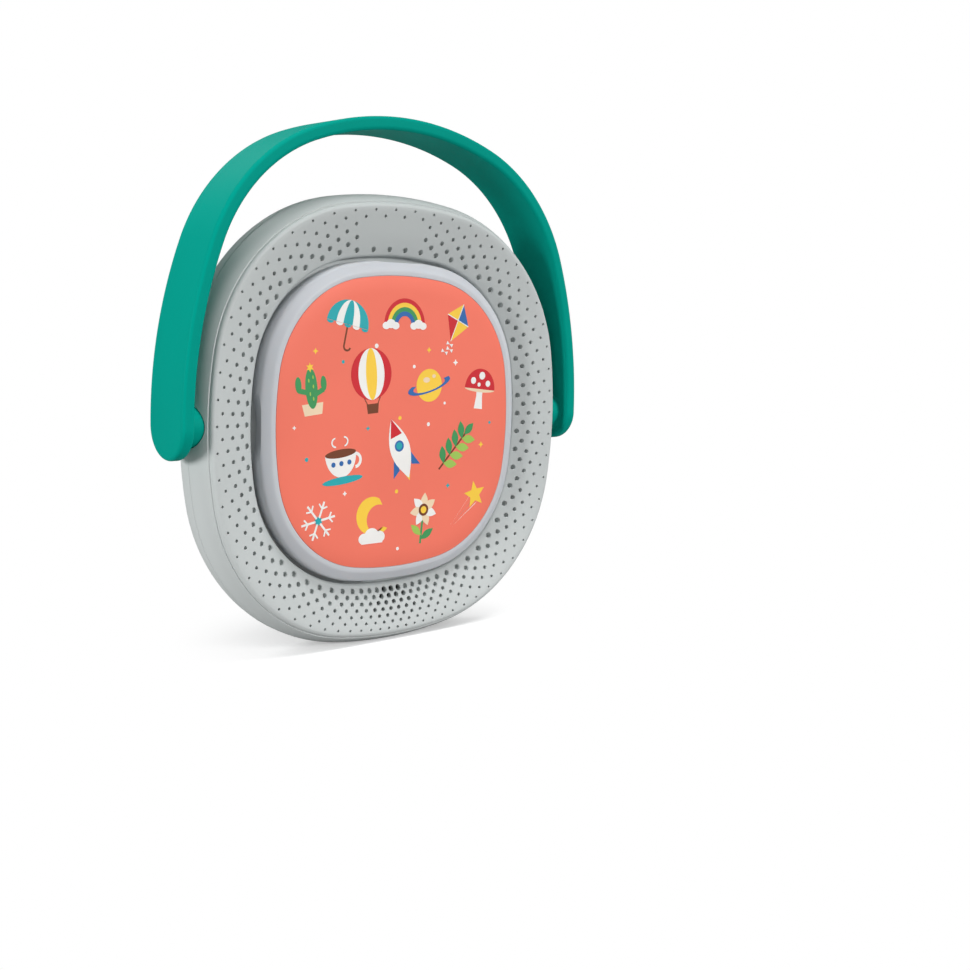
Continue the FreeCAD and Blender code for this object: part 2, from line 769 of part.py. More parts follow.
def handle():
    spine = handle_spine()
    band = doc.addObject("Part::Sweep", "handle_band")
    band.Sections = [handle_section("handle_section", 1, False)]
    doc.recompute()
    band.Spine = (spine, ["Edge%d" % number for number in range(1, len(spine.Shape.Edges) + 1)])
    band.Solid = True
    band.Frenet = True
    pieces = [band]
    inner = handle_half - size.handle_thick
    for side, label in ((1, "right"), (-1, "left")):
        end = doc.addObject("Part::Revolution", "handle_end_" + label)
        end.Source = handle_section("handle_end_section_" + label, side, True)
        end.Axis = V(-1, 0, 0)
        end.Base = V(0, parting, hub_height)
        end.Angle = 180
        end.Solid = True
        pieces.append(end)
        boss_reach = inner - bearing_inner - size.bearing_thick - size.washer_thick
        pieces.append(cylinder("hub_" + label, "hub_radius", "handle_thick / 2 + %f" % boss_reach,
                               (side * (inner + size.handle_thick / 2), parting, hub_height),
                               (-side, 0, 0)))
        pieces.append(cylinder("neck_" + label, "neck_radius", "handle_thick / 2 + %f"
                               % (inner - bearing_inner), (side * (inner + size.handle_thick / 2),
                               parting, hub_height), (-side, 0, 0)))
    pilots = []
    for side, label in ((1, "right"), (-1, "left")):
        pilots.append(rod("handle_pilot_" + label, "handle_screw_radius", "handle_screw_length",
                          (side * bearing_inner, parting, hub_height), (side, 0, 0)))
    return cut("handle", fuse("handle_solid", pieces), fuse("handle_pilots", pilots))


def paired(name, make):
    """One group of the same small piece at both hubs."""
    return group(name, [make(side, label) for side, label in ((1, "right"), (-1, "left"))])


def ring(name, outer, inner, length, start, direction=(0, 1, 0), make=rod):
    return cut(name, make(name + "_outside", outer, length, start, direction),
               make(name + "_bore", inner, length, start, direction))


def friction_washer(side, label):
    start = side * (bearing_inner + size.bearing_thick)
    return ring("friction_washer_" + label, "washer_radius", "neck_radius + running_clearance",
                "washer_thick", (start, parting, hub_height), (side, 0, 0), cylinder)


def retainer(side, label):
    return ring("handle_retainer_" + label, "washer_radius", "handle_screw_radius", "retainer_thick",
                (side * bearing_inner, parting, hub_height), (-side, 0, 0))


def handle_screw(side, label):
    head = side * (bearing_inner - size.retainer_thick)
    return fuse("handle_screw_" + label, [
        rod("handle_screw_head_" + label, "screw_head_radius", "screw_head_thick",
            (head, parting, hub_height), (-side, 0, 0)),
        rod("handle_screw_shank_" + label, "handle_screw_radius",
            "handle_screw_length + retainer_thick", (head, parting, hub_height), (side, 0, 0)),
    ])


# Picture disc

def disc_shell():
    foot = disc_face + size.disc_bevel_drop
    skirt = prism("disc_skirt", outline_sketch("disc_outline", disc_arcs(0), recess_floor),
                  "disc_height - disc_bevel_drop")
    bevel = doc.addObject("Part::Loft", "disc_bevel")
    bevel.Sections = [outline_sketch("bevel_foot", disc_arcs(0), foot),
                      outline_sketch("bevel_top", disc_arcs(size.disc_bevel_width), disc_face)]
    bevel.Solid = True
    bevel.Ruled = True
    seat = prism("print_seat", outline_sketch("print_seat_outline", disc_arcs(size.print_inset
                 - size.print_gap), disc_face + size.print_thick), "print_thick + wall")
    hollow = prism("disc_hollow", outline_sketch("disc_hollow_outline", disc_arcs(size.disc_wall),
                   recess_floor), "disc_height - disc_top_wall")
    notches = []
    reach = size.disc_half - size.notch_bite + size.notch_radius
    for number in range(4):
        angle = number * math.pi / 2
        notches.append(cylinder("finger_notch_%d" % number, "notch_radius", "notch_height",
                                (reach * math.cos(angle), recess_floor - size.notch_height,
                                 middle + reach * math.sin(angle))))
    tools = fuse("disc_tools", [seat, hollow] + notches)
    return cut("disc_shell", fuse("disc_solid", [skirt, bevel]), tools)


def magnets(name, depth, to_front):
    """Four magnets, the same pattern in the disc and behind the recess floor."""
    across = size.disc_half - size.magnet_inset
    places = [V(side * across, up * size.magnet_up, 0)
              for side in (1, -1) for up in (1, -1)]
    return prism(name, circles(name + "_circles", places, size.magnet_radius, depth),
                 "magnet_thick", to_front)


def cover_plate(name, arcs, depth, thickness):
    return prism(name, outline_sketch(name + "_outline", arcs, depth), thickness)


# Loudspeaker

def speaker_frame():
    front = floor_back + size.gasket_thick
    centre = speaker_centre
    flange = rod("speaker_flange", "speaker_radius", "speaker_flange_thick", (0, front, centre))
    basket = cone("speaker_basket", "cone_radius + wall", "speaker_magnet_radius", "speaker_depth"
                  " - speaker_magnet_thick - speaker_flange_thick",
                  (0, front + size.speaker_flange_thick, centre))
    hollow = cone("speaker_hollow", "cone_radius + wall / 2", "speaker_magnet_radius - wall",
                  "speaker_depth - speaker_magnet_thick - wall", (0, front, centre))
    return cut("speaker_frame", fuse("speaker_frame_solid", [flange, basket]), hollow)


def speaker_cone():
    front = floor_back + size.gasket_thick + size.cone_thick
    centre = speaker_centre
    deep = "speaker_depth - speaker_magnet_thick - wall - 3 * cone_thick"
    outside = cone("cone_outside", "cone_radius", "speaker_magnet_radius / 2", deep,
                   (0, front, centre))
    inside = cone("cone_inside", "cone_radius - cone_thick", "speaker_magnet_radius / 2 - cone_thick",
                  deep + " - cone_thick", (0, front, centre))
    return cut("speaker_cone", outside, inside)


def speaker_cloth():
    """Dust cloth laid against the inside of the face behind the open holes."""
    inside = crest + size.face_wall
    near = fuse("cloth_near", [dish("cloth_near_dish", size.face_wall),
                               half_space("cloth_near_flat", inside, "body_half")])
    far = fuse("cloth_far", [dish("cloth_far_dish", size.face_wall + size.cloth_thick),
                             half_space("cloth_far_flat", inside + size.cloth_thick, "body_half")])
    centre = speaker_centre
    region = rod("cloth_region", "cone_radius + wall - running_clearance", "body_half",
                 (0, -size.body_half / 2, centre))
    floor_edge = middle - size.disc_half - size.recess_clearance - size.face_wall
    above = box("cloth_above", "4 * speaker_radius", "2 * body_half", "speaker_radius * 2",
                (-2 * size.speaker_radius, -size.body_half, floor_edge))
    return cut("speaker_cloth", common("cloth_block", [region, far]),
               fuse("cloth_tools", [near, above]))


# Cells, contacts, boards and controls

def cells():
    pieces = []
    for number in range(int(size.cell_count)):
        side = 1 if number % 2 == 0 else -1
        z = middle + (number - (size.cell_count - 1) / 2) * size.cell_pitch
        start = -side * (size.cell_length + size.cell_nub_length) / 2
        can = cylinder("cell_can_%d" % number, "cell_radius", "cell_length",
                       (start, cell_depth, z), (side, 0, 0))
        nub = cylinder("cell_nub_%d" % number, "cell_nub_radius", "cell_nub_length",
                       (start + side * size.cell_length, cell_depth, z), (side, 0, 0))
        pieces.append(fuse("cell_%d" % number, [can, nub]))
    return group("battery_cells", pieces)


def contacts():
    """Sprung strips at both ends of the bay, each with a bump towards each cell."""
    plates = []
    for side, label in ((1, "right"), (-1, "left")):
        wall_x = side * bay_length / 2
        corner = wall_x - size.contact_thick if side > 0 else wall_x
        plate = box("contact_plate_" + label, "contact_thick", "2 * cell_radius",
                    BAY_HEIGHT + " - 2 * cell_clearance",
                    (corner, cell_depth - size.cell_radius, middle - bay_height / 2
                     + size.cell_clearance))
        bumps = [plate]
        for number in range(int(size.cell_count)):
            z = middle + (number - (size.cell_count - 1) / 2) * size.cell_pitch
            bumps.append(cone("contact_bump_%s_%d" % (label, number), "cell_radius - contact_room",
                              "cell_nub_radius", "contact_room - contact_thick",
                              (wall_x - side * size.contact_thick, cell_depth, z), (-side, 0, 0)))
        plates.append(fuse("contact_" + label, bumps))
    return group("battery_contacts", plates)


def door_screw():
    sink = bulge_back - size.screw_head_thick / 2
    return fuse("battery_door_screw", [
        cone("door_screw_head", "door_screw_radius", "screw_head_radius - door_clearance",
             "screw_head_thick - door_clearance", (door_screw_x, bulge_back - size.screw_head_thick
             + size.door_clearance, middle)),
        rod("door_screw_shank", "door_screw_radius", "door_screw_length",
            (door_screw_x, sink - size.door_screw_length, middle)),
    ])


def battery_door():
    plate = prism("door_plate", door_outline("door_outline", 0, door_inside), "door_thick", False)
    grips = []
    for number in range(3):
        start = -size.cell_length / 4 + number * 2 * size.wall
        grips.append(box("door_grip_%d" % number, "wall / 2", "door_thick / 3", "cell_pitch",
                         (start, bulge_back - size.door_thick / 3, middle - size.cell_pitch / 2)))
    countersink = cone("door_countersink", "door_screw_radius", "screw_head_radius - door_clearance",
                       "screw_head_thick - door_clearance",
                       (door_screw_x, bulge_back - size.screw_head_thick + size.door_clearance, middle))
    through = rod("door_through", "door_screw_radius", "door_thick",
                  (door_screw_x, door_inside, middle))
    return cut("battery_door", plate, fuse("door_tools", grips + [countersink, through]))


def housing_screws():
    head_seat = back_plane - size.screw_sink
    shanks = prism("housing_shanks", circles("housing_shank_circles", posts,
                   size.housing_screw_radius, head_seat), "housing_screw_length")
    heads = prism("housing_heads", circles("housing_head_circles", posts, size.screw_head_radius,
                  head_seat), "screw_head_thick", False)
    return fuse("housing_screws", [shanks, heads])


def button(name, across):
    z = button_height
    top = back_plane + size.button_proud
    flange_top = back_inside - size.button_room
    cap = cylinder(name + "_cap", "button_radius", "button_proud + wall + button_room"
                   " + button_flange_thick", (across, top, z), (0, -1, 0))
    flange = cylinder(name + "_flange", "button_radius + button_flange", "button_flange_thick",
                      (across, flange_top, z), (0, -1, 0))
    solid = fuse(name + "_solid", [cap, flange])
    doc.recompute()
    return rounded(name, solid, size.button_proud / 2, at_depth(top), "Part::Chamfer")


button_inside = back_inside - size.button_room - size.button_flange_thick
board_back = parting + size.main_board_depth + size.board_thick


def switches():
    top = button_inside - size.button_travel - size.button_room
    pieces = []
    for name, across in button_places().items():
        pieces.append(box(name + "_switch", "switch_side", "%f" % (top - board_back), "switch_side",
                          (across - size.switch_side / 2, board_back,
                           button_height - size.switch_side / 2)))
    return group("button_switches", pieces)


def headphone_jack():
    z = button_height
    block_top = back_inside - size.button_room
    block = box("jack_block", "jack_side", "%f" % (block_top - board_back), "jack_side",
                (jack_across - size.jack_side / 2, board_back, z - size.jack_side / 2))
    sleeve = cylinder("jack_sleeve", "jack_sleeve_radius", "button_room + wall",
                      (jack_across, block_top, z))
    bore = cylinder("jack_bore", "jack_bore_radius", "%f" % (back_plane - board_back - size.wall),
                    (jack_across, back_plane, z), (0, -1, 0))
    return cut("headphone_jack", fuse("jack_solid", [block, sleeve]), bore)


def main_board():
    low = button_height - size.main_board_height / 2 - size.wall
    blank = box("main_board_blank", "main_board_length", "board_thick", "main_board_height",
                (-size.main_board_length / 2, parting + size.main_board_depth, low))
    holes = board_posts("board_hole", "board_screw_radius", parting + size.main_board_depth,
                        "board_thick")
    return cut("main_board", blank, fuse("board_holes", holes))


def board_screws():
    front = parting + size.main_board_depth
    heads = board_posts("board_head", "board_screw_head", front - size.board_screw_radius,
                        "board_screw_radius")
    shanks = board_posts("board_shank", "board_screw_radius", front, "board_screw_length")
    pairs = [fuse("board_screw_%d" % number, list(pair)) for number, pair in
             enumerate(zip(heads, shanks))]
    return group("board_screws", pairs)


def sensor_board():
    half = size.disc_half - size.magnet_inset - size.magnet_radius - size.board_magnet_gap
    side = "2 * (disc_half - magnet_inset - magnet_radius - board_magnet_gap)"
    blank = box("sensor_blank", side, "board_thick", side,
                (-half, floor_back, middle - half))
    return rounded("sensor_board", blank, size.magnet_radius,
                   lambda point: abs(abs(point.x) - half) < 1e-4
                   and abs(abs(point.z - middle) - half) < 1e-4)


magnet_seat = recess_floor - size.disc_back_thick
speaker_front = floor_back + size.gasket_thick
nodes = {
    "front_housing": front_housing(),
    "rear_housing": rear_housing(),
    "handle": handle(),
    "handle_friction_washers": paired("handle_friction_washers", friction_washer),
    "handle_retainers": paired("handle_retainers", retainer),
    "handle_screws": paired("handle_screws", handle_screw),
    "housing_screws": housing_screws(),
    "disc_shell": disc_shell(),
    "disc_print": cover_plate("disc_print", disc_arcs(size.print_inset), disc_face + size.print_thick,
                              "print_thick"),
    "disc_back": cover_plate("disc_back", disc_arcs(size.disc_wall + size.back_clearance),
                             recess_floor, "disc_back_thick"),
    "disc_magnets": magnets("disc_magnets", magnet_seat, True),
    "disc_tag": rod("disc_tag", "tag_radius", "tag_thick", (0, magnet_seat, middle), (0, -1, 0)),
    "dish_magnets": magnets("dish_magnets", floor_back, False),
    "sensor_board": sensor_board(),
    "main_board": main_board(),
    "board_screws": board_screws(),
    "button_switches": switches(),
    "headphone_jack": headphone_jack(),
    "battery_cells": cells(),
    "battery_contacts": contacts(),
    "battery_door": battery_door(),
    "battery_door_screw": door_screw(),
    "speaker_frame": speaker_frame(),
    "speaker_cone": speaker_cone(),
    "speaker_magnet": rod("speaker_magnet", "speaker_magnet_radius", "speaker_magnet_thick",
                          (0, speaker_front + size.speaker_depth - size.speaker_magnet_thick,
                                speaker_centre)),
    "speaker_gasket": ring("speaker_gasket", "speaker_radius", "cone_radius + wall", "gasket_thick",
                           (0, floor_back, speaker_centre)),
    "speaker_cloth": speaker_cloth(),
}
for name, across in button_places().items():
    nodes[name] = button(name, across)

doc.recompute()
for item in doc.Objects:
    if "Invalid" in item.State or "Error" in item.State:
        raise RuntimeError("%s failed: %s" % (item.Name, item.State))
for name, item in nodes.items():
    item.Label = name
    if item.Shape.isNull() or not item.Shape.isValid() or not item.Shape.Solids:
        raise RuntimeError("%s has no valid solid" % name)

os.makedirs("parts", exist_ok=True)
for name, item in nodes.items():
    item.Shape.exportStep("parts/%s.step" % name)
print("wrote %d nodes" % len(nodes))
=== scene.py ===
import json
import math

import bmesh
import bpy
from mathutils import Matrix, Vector

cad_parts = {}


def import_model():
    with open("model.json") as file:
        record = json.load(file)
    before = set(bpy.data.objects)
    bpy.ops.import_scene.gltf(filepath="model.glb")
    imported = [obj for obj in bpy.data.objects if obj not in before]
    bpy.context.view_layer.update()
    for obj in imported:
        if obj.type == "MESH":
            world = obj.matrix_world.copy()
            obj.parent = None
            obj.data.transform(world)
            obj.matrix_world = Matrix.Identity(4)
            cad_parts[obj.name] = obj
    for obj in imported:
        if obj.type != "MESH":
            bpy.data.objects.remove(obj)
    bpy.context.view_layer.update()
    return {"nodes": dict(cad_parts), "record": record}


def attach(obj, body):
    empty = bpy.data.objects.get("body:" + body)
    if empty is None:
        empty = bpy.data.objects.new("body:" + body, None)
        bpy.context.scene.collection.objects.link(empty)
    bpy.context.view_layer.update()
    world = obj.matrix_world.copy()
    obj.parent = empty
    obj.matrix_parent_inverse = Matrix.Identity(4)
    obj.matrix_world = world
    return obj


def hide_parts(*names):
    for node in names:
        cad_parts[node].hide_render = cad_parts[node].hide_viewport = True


# The audio story player's looks

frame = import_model()
nodes = frame["nodes"]
scene = bpy.context.scene


# Sizes in millimetres, as in the solids, which MM turns into metres

MM = 0.001
WALL = 2.0

# Depths run along +Y, to the back
PARTING = -0.715
CREST = PARTING - 9.0
FACE_EDGE = 1.4
FACE_TOP = CREST - FACE_EDGE
RECESS_FLOOR = PARTING - 1.0
FLOOR_BACK = RECESS_FLOOR + WALL
DISC_FACE = RECESS_FLOOR - 8.0
BACK_PLANE = PARTING + 17.5

# Heights over the ground
MIDDLE = 86.5
HUB = 88.0

# Rounded-square outlines: half width, radius of the sides, and x of the point on the diagonal
BODY_HALF = 87.5
BODY_SIDE = 2 * BODY_HALF
BODY_DIAGONAL = 65.8
DISC_HALF = 62.6
DISC_SIDE = 142.1
DISC_DIAGONAL = 47.6

# Lip, rounded side wall, ridge, sloping face and the dish down to the recess
LIP = 0.5
LIP_WALL = 2.4
SIDE_ROUND = 13.7
RIDGE_INSET = 5.6
SLOPE_INSET = 16.0
DISH_REACH = 7.3
RECESS_GAP = 1.6
BEARING_RADIUS = 8.15

# Perforation, with the holes' spacing along a row in degrees
ROWS = 7
FIRST_ROW_INSET = 20.7
ROW_PITCH = 2.45
LARGEST_HOLE = 1.05
HOLE_SHRINK = 0.55
WIDE_STEP = 6.5
CROWDING = 3.5
CROWDED_REACH = 30.0
BARE_LEFT = -19.5
BARE_RIGHT = 11.0
SPEAKER_UP = 13.2
OPEN_REACH = 10.2
OPEN_WIDENING = 1.1
OPEN_DEPTH = 8.0
BLIND_DEPTH = 1.5

# Carrying handle
HANDLE_HALF = 95.8
HANDLE_RISE = 114.1
HANDLE_CORNER = 70.0
HANDLE_THICK = 5.0
HANDLE_HALF_WIDTH = 12.0
HANDLE_EDGE = 1.4

# Picture disc
PRINT_HALF = 56.8
PRINT_INSET = DISC_HALF - PRINT_HALF
PRINT_THICK = 0.35
DISC_WALL = 1.6
DISC_BACK_INSET = 5.1
NOTCHES = 4
NOTCH_DEPTH = 2.4
NOTCH_RADIUS = 40.0
NOTCH_TALL = 6.2
MOTIF_SCALE = 1.1
INK_LIFT = 0.012
INK_LAYER = 0.010

# Screws at the back, and the cross that their driver fits
CROSS_HALF = 0.28
CROSS_DEPTH = 0.9
POST_INSET = 17.0
SCREW_SINK = 3.5
BULGE = 3.4
DOOR_SCREW_X = 34.3

# Half the length over which a cell's bands are laid
CELL_REACH = 26.0

# Distances from the origin between which the floor's shadow fades to white
SHADOW_NEAR = 20.0
SHADOW_FAR = 85.0


# Materials

def new_material(name):
    material = bpy.data.materials.new(name)
    material.use_nodes = True
    tree = material.node_tree
    shader = tree.nodes["Principled BSDF"]
    return material, tree, shader


def object_coordinates(tree):
    """Each piece's own coordinates, in metres."""
    return tree.nodes.new("ShaderNodeTexCoord").outputs["Object"]


def noise(tree, scale, detail=3.0, stretch=None):
    texture = tree.nodes.new("ShaderNodeTexNoise")
    texture.inputs["Scale"].default_value = scale
    texture.inputs["Detail"].default_value = detail
    source = object_coordinates(tree)
    if stretch:
        mapping = tree.nodes.new("ShaderNodeMapping")
        mapping.inputs["Scale"].default_value = stretch
        tree.links.new(source, mapping.inputs["Vector"])
        source = mapping.outputs["Vector"]
    tree.links.new(source, texture.inputs["Vector"])
    return texture.outputs["Fac"]


def ramp(tree, source, stops):
    """Colour from (place, colour) stops along a value."""
    node = tree.nodes.new("ShaderNodeValToRGB")
    elements = node.color_ramp.elements
    while len(elements) < len(stops):
        elements.new(0.5)
    for element, (place, colour) in zip(elements, stops):
        element.position = place
        element.color = (*colour, 1)
    tree.links.new(source, node.inputs["Fac"])
    return node.outputs["Color"]


def map_range(tree, source, low, high):
    """A noise, most of which lies between 0.3 and 0.7, spread from low to high."""
    node = tree.nodes.new("ShaderNodeMapRange")
    node.inputs["From Min"].default_value = 0.3
    node.inputs["From Max"].default_value = 0.7
    node.inputs["To Min"].default_value = low
    node.inputs["To Max"].default_value = high
    tree.links.new(source, node.inputs["Value"])
    return node.outputs["Result"]


def moulded(name, colour, roughness, grain, bump, spread=0.03, patches=22.0, stretch=None, metal=0.0,
            soft=0.0, gloss=0.3):
    """A surface with slow colour drift, uneven gloss and a fine grain of its own."""
    material, tree, shader = new_material(name)
    drift = noise(tree, patches, 2.0)
    darker = tuple(c * (1 - spread) for c in colour)
    lighter = tuple(min(1, c * (1 + spread)) for c in colour)
    tree.links.new(ramp(tree, drift, ((0.35, darker), (0.65, lighter))), shader.inputs["Base Color"])
    texture = noise(tree, grain, 4.0, stretch)
    tree.links.new(map_range(tree, texture, roughness - 0.04, roughness + 0.05),
                   shader.inputs["Roughness"])
    relief = tree.nodes.new("ShaderNodeBump")
    relief.inputs["Strength"].default_value = bump
    relief.inputs["Distance"].default_value = 0.0001
    tree.links.new(texture, relief.inputs["Height"])
    tree.links.new(relief.outputs["Normal"], shader.inputs["Normal"])
    shader.inputs["Metallic"].default_value = metal
    shader.inputs["Specular IOR Level"].default_value = 0.5 if metal else gloss
    if soft:
        shader.inputs["Subsurface Weight"].default_value = soft
        shader.inputs["Subsurface Radius"].default_value = (1.0, 0.8, 0.7)
        shader.inputs["Subsurface Scale"].default_value = 0.0012
    return material


def woven(name, colour):
    """Cloth with crossing threads."""
    material, tree, shader = new_material(name)
    waves = []
    for direction in ("X", "Z"):
        wave = tree.nodes.new("ShaderNodeTexWave")
        wave.bands_direction = direction
        wave.inputs["Scale"].default_value = 900
        tree.links.new(object_coordinates(tree), wave.inputs["Vector"])
        waves.append(wave.outputs["Fac"])
    lift = tree.nodes.new("ShaderNodeMath")
    lift.operation = "MAXIMUM"
    tree.links.new(waves[0], lift.inputs[0])
    tree.links.new(waves[1], lift.inputs[1])
    lighter = tuple(min(1, c * 1.6) for c in colour)
    tree.links.new(ramp(tree, lift.outputs[0], ((0.2, colour), (0.9, lighter))),
                   shader.inputs["Base Color"])
    shader.inputs["Roughness"].default_value = 0.9
    return material


def banded_cell(name):
    """A cell's printed jacket with a bare steel can at both ends."""
    material, tree, shader = new_material(name)
    split = tree.nodes.new("ShaderNodeSeparateXYZ")
    tree.links.new(object_coordinates(tree), split.inputs["Vector"])
    place = tree.nodes.new("ShaderNodeMapRange")
    place.inputs["From Min"].default_value = -CELL_REACH * MM
    place.inputs["From Max"].default_value = CELL_REACH * MM
    tree.links.new(split.outputs["X"], place.inputs["Value"])
    steel = (0.62, 0.62, 0.6)
    dark = (0.1, 0.2, 0.42)
    blue = (0.12, 0.24, 0.48)
    light = (0.75, 0.76, 0.78)
    stops = ((0.0, steel), (0.06, dark), (0.3, blue), (0.32, light), (0.66, light), (0.68, blue),
             (0.94, steel))
    tree.links.new(ramp(tree, place.outputs["Result"], stops), shader.inputs["Base Color"])
    tree.links.new(map_range(tree, noise(tree, 300.0), 0.25, 0.4), shader.inputs["Roughness"])
    shader.inputs["Metallic"].default_value = 0.5
    return material


finishes = {
    "housing_grey": moulded("moulded_grey", (0.51, 0.54, 0.535), 0.5, 1500, 0.12, 0.012, gloss=0.2),
    "handle_teal": moulded("satin_teal", (0.0, 0.29, 0.228), 0.55, 1300, 0.06, 0.03, gloss=0.02),
    "disc_frost": moulded("frosted_shell", (0.54, 0.56, 0.59), 0.42, 2400, 0.10, 0.015, soft=0.35),
    "print_coral": moulded("print_film", (0.88, 0.193, 0.13), 0.45, 3000, 0.16, 0.02, gloss=0.12),
    "button_grey": moulded("button_plastic", (0.44, 0.46, 0.46), 0.4, 1500, 0.1, 0.02),
    "black_plastic": moulded("black_plastic", (0.025, 0.025, 0.027), 0.45, 1200, 0.15),
    "washer_nylon": moulded("nylon", (0.8, 0.78, 0.72), 0.4, 600, 0.1, soft=0.2),
    "board_green": moulded("solder_mask", (0.015, 0.16, 0.06), 0.35, 700, 0.15, 0.15, 160.0),
    "screw_steel": moulded("zinc_plate", (0.62, 0.62, 0.6), 0.3, 900, 0.2, 0.05, 200.0, metal=1.0),
    "contact_steel": moulded("nickel_strip", (0.7, 0.69, 0.65), 0.28, 800, 0.2, 0.05, 100.0,
                             (1, 1, 9), metal=1.0),
    "magnet_nickel": moulded("nickel_plate", (0.72, 0.72, 0.72), 0.16, 500, 0.08, 0.03, metal=1.0),
    "speaker_iron": moulded("ferrite", (0.05, 0.05, 0.052), 0.6, 900, 0.3),
    "cone_paper": moulded("pressed_paper", (0.045, 0.043, 0.04), 0.85, 1600, 0.5, 0.1, 300.0),
    "cloth_black": woven("dust_cloth", (0.012, 0.012, 0.013)),
    "gasket_foam": moulded("foam", (0.04, 0.04, 0.042), 0.9, 2200, 0.6, 0.15, 600.0),
    "cell_jacket": banded_cell("cell_jacket"),
    "tag_foil": moulded("tag_film", (0.62, 0.42, 0.2), 0.35, 400, 0.1, 0.1, 150.0),
}
for part in frame["record"]["subparts"]:
    for place in nodes[part["node"]].material_slots:
        place.link = "OBJECT"
        place.material = finishes[part["material_slot"]]


# Meshes

def link(name, mesh, material, body, replaced=()):
    """A visible piece that rides with a body, in place of the nodes that it replaces."""
    piece = bpy.data.objects.new(name, mesh)
    scene.collection.objects.link(piece)
    if material:
        mesh.materials.clear()
        mesh.materials.append(material)
    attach(piece, body)
    if replaced:
        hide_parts(*replaced)
    return piece


def mesh_from(name, points, faces):
    """A mesh from points in millimetres, with double points merged and faces turned outwards."""
    mesh = bpy.data.meshes.new(name)
    mesh.from_pydata([Vector(point) * MM for point in points], [], faces)
    work = bmesh.new()
    work.from_mesh(mesh)
    bmesh.ops.remove_doubles(work, verts=work.verts, dist=1e-7)
    bmesh.ops.recalc_face_normals(work, faces=work.faces)
    work.to_mesh(mesh)
    work.free()
    return mesh


def smooth(mesh, angle):
    """Smooth shading, with edges sharper than the angle kept."""
    mesh.polygons.foreach_set("use_smooth", [True] * len(mesh.polygons))
    mesh.set_sharp_from_angle(angle=math.radians(angle))
    mesh.update()


def weighted(piece):
    """Large faces stay flat in the shading beside small ones."""
    modifier = piece.modifiers.new("even_shading", "WEIGHTED_NORMAL")
    modifier.keep_sharp = True
    modifier.weight = 60


def carve(mesh, cuts):
    """The mesh after each (operation, tool mesh) in turn."""
    block = bpy.data.objects.new("carving", mesh)
    scene.collection.objects.link(block)
    tools = []
    for operation, tool_mesh in cuts:
        tool = bpy.data.objects.new("tool", tool_mesh)
        scene.collection.objects.link(tool)
        tools.append(tool)
        modifier = block.modifiers.new(operation, "BOOLEAN")
        modifier.operation = operation
        modifier.object = tool
        modifier.solver = "MANIFOLD"
    graph = bpy.context.evaluated_depsgraph_get()
    result = bpy.data.meshes.new_from_object(block.evaluated_get(graph))
    for item in [block] + tools:
        bpy.data.objects.remove(item)
    return result


def joined(name, parts):
    """One mesh from several lists of points and faces."""
    points = []
    faces = []
    for part_points, part_faces in parts:
        first = len(points)
        points += part_points
        faces += [[first + number for number in face] for face in part_faces]
    return mesh_from(name, points, faces)


def spun(centre, axis, profile, sides):
    """A closed turned body from (place along the axis, radius) pairs, as points and faces."""
    axis = Vector(axis).normalized()
    turn = axis.to_track_quat("Z", "Y")
    points = []
    faces = []
    for along, radius in profile:
        for number in range(sides):
            angle = 2 * math.pi * number / sides
            local = Vector((radius * math.cos(angle), radius * math.sin(angle), along))
            points.append(Vector(centre) + turn @ local)
    for ring in range(len(profile) - 1):
        for number in range(sides):
            after = (number + 1) % sides
            low = ring * sides
            faces.append([low + number, low + after, low + sides + after, low + sides + number])
    faces.append(list(range(sides)))
    last = (len(profile) - 1) * sides
    faces.append(list(range(last, last + sides)))
    return points, faces


# Rounded-square outlines, the same arcs as in the solids

def outline_arcs(half, side_radius, diagonal):
    """(centre, radius, first angle, last angle) of the eight arcs, from the right side round."""
    shift = side_radius - half
    reach = side_radius - math.sqrt(2) * diagonal
    corner = (shift ** 2 - reach ** 2) / (2 * (math.sqrt(2) * reach - shift))
    corner_radius = math.sqrt(2) * (diagonal - corner)
    turn = math.atan2(corner, corner + shift)
    arcs = []
    for quarter in range(4):
        start = quarter * math.pi / 2
        spin = Matrix.Rotation(start, 2)
        side_centre = spin @ Vector((-shift, 0))
        corner_centre = spin @ Vector((corner, corner))
        arcs.append((side_centre, side_radius, start - turn, start + turn))
        arcs.append((corner_centre, corner_radius, start + turn, start + math.pi / 2 - turn))
    return arcs


BODY = outline_arcs(BODY_HALF, BODY_SIDE, BODY_DIAGONAL)
DISC = outline_arcs(DISC_HALF, DISC_SIDE, DISC_DIAGONAL)
STATIONS = []
for arc in range(8):
    count = 60 if arc % 2 else 32
    STATIONS += [(arc, step / count) for step in range(count)]


def outline(arcs, inset):
    """Points of an outline moved inwards, one for each station."""
    points = []
    for number, share in STATIONS:
        centre, radius, first, last = arcs[number]
        angle = first + (last - first) * share
        points.append(centre + (radius - inset) * Vector((math.cos(angle), math.sin(angle))))
    return points


def dish_outline(distance):
    """Outlines between the disc recess and the sloping face, by distance from the recess."""
    share = distance / DISH_REACH
    inner = outline(DISC, -RECESS_GAP)
    outer = outline(BODY, SLOPE_INSET)
    return [near.lerp(far, share) for near, far in zip(inner, outer)]


def lofted(name, rings, stand=False):
    """A closed mesh through (outline, depth) rings; an outline of None is a single point."""
    points = []
    starts = []
    count = len(STATIONS)
    for flat, depth in rings:
        starts.append(len(points))
        for point in flat or [Vector((0, 0))]:
            height = MIDDLE + point.y
            points.append((point.x, depth, max(height, 0.0) if stand else height))
    faces = []
    for number in range(len(rings) - 1):
        low = starts[number]
        high = starts[number + 1]
        for step in range(count):
            after = (step + 1) % count
            if rings[number][0] is None:
                faces.append([low, high + after, high + step])
            elif rings[number + 1][0] is None:
                faces.append([low + step, low + after, high])
            else:
                faces.append([low + step, low + after, high + after, high + step])
    return mesh_from(name, points, faces)


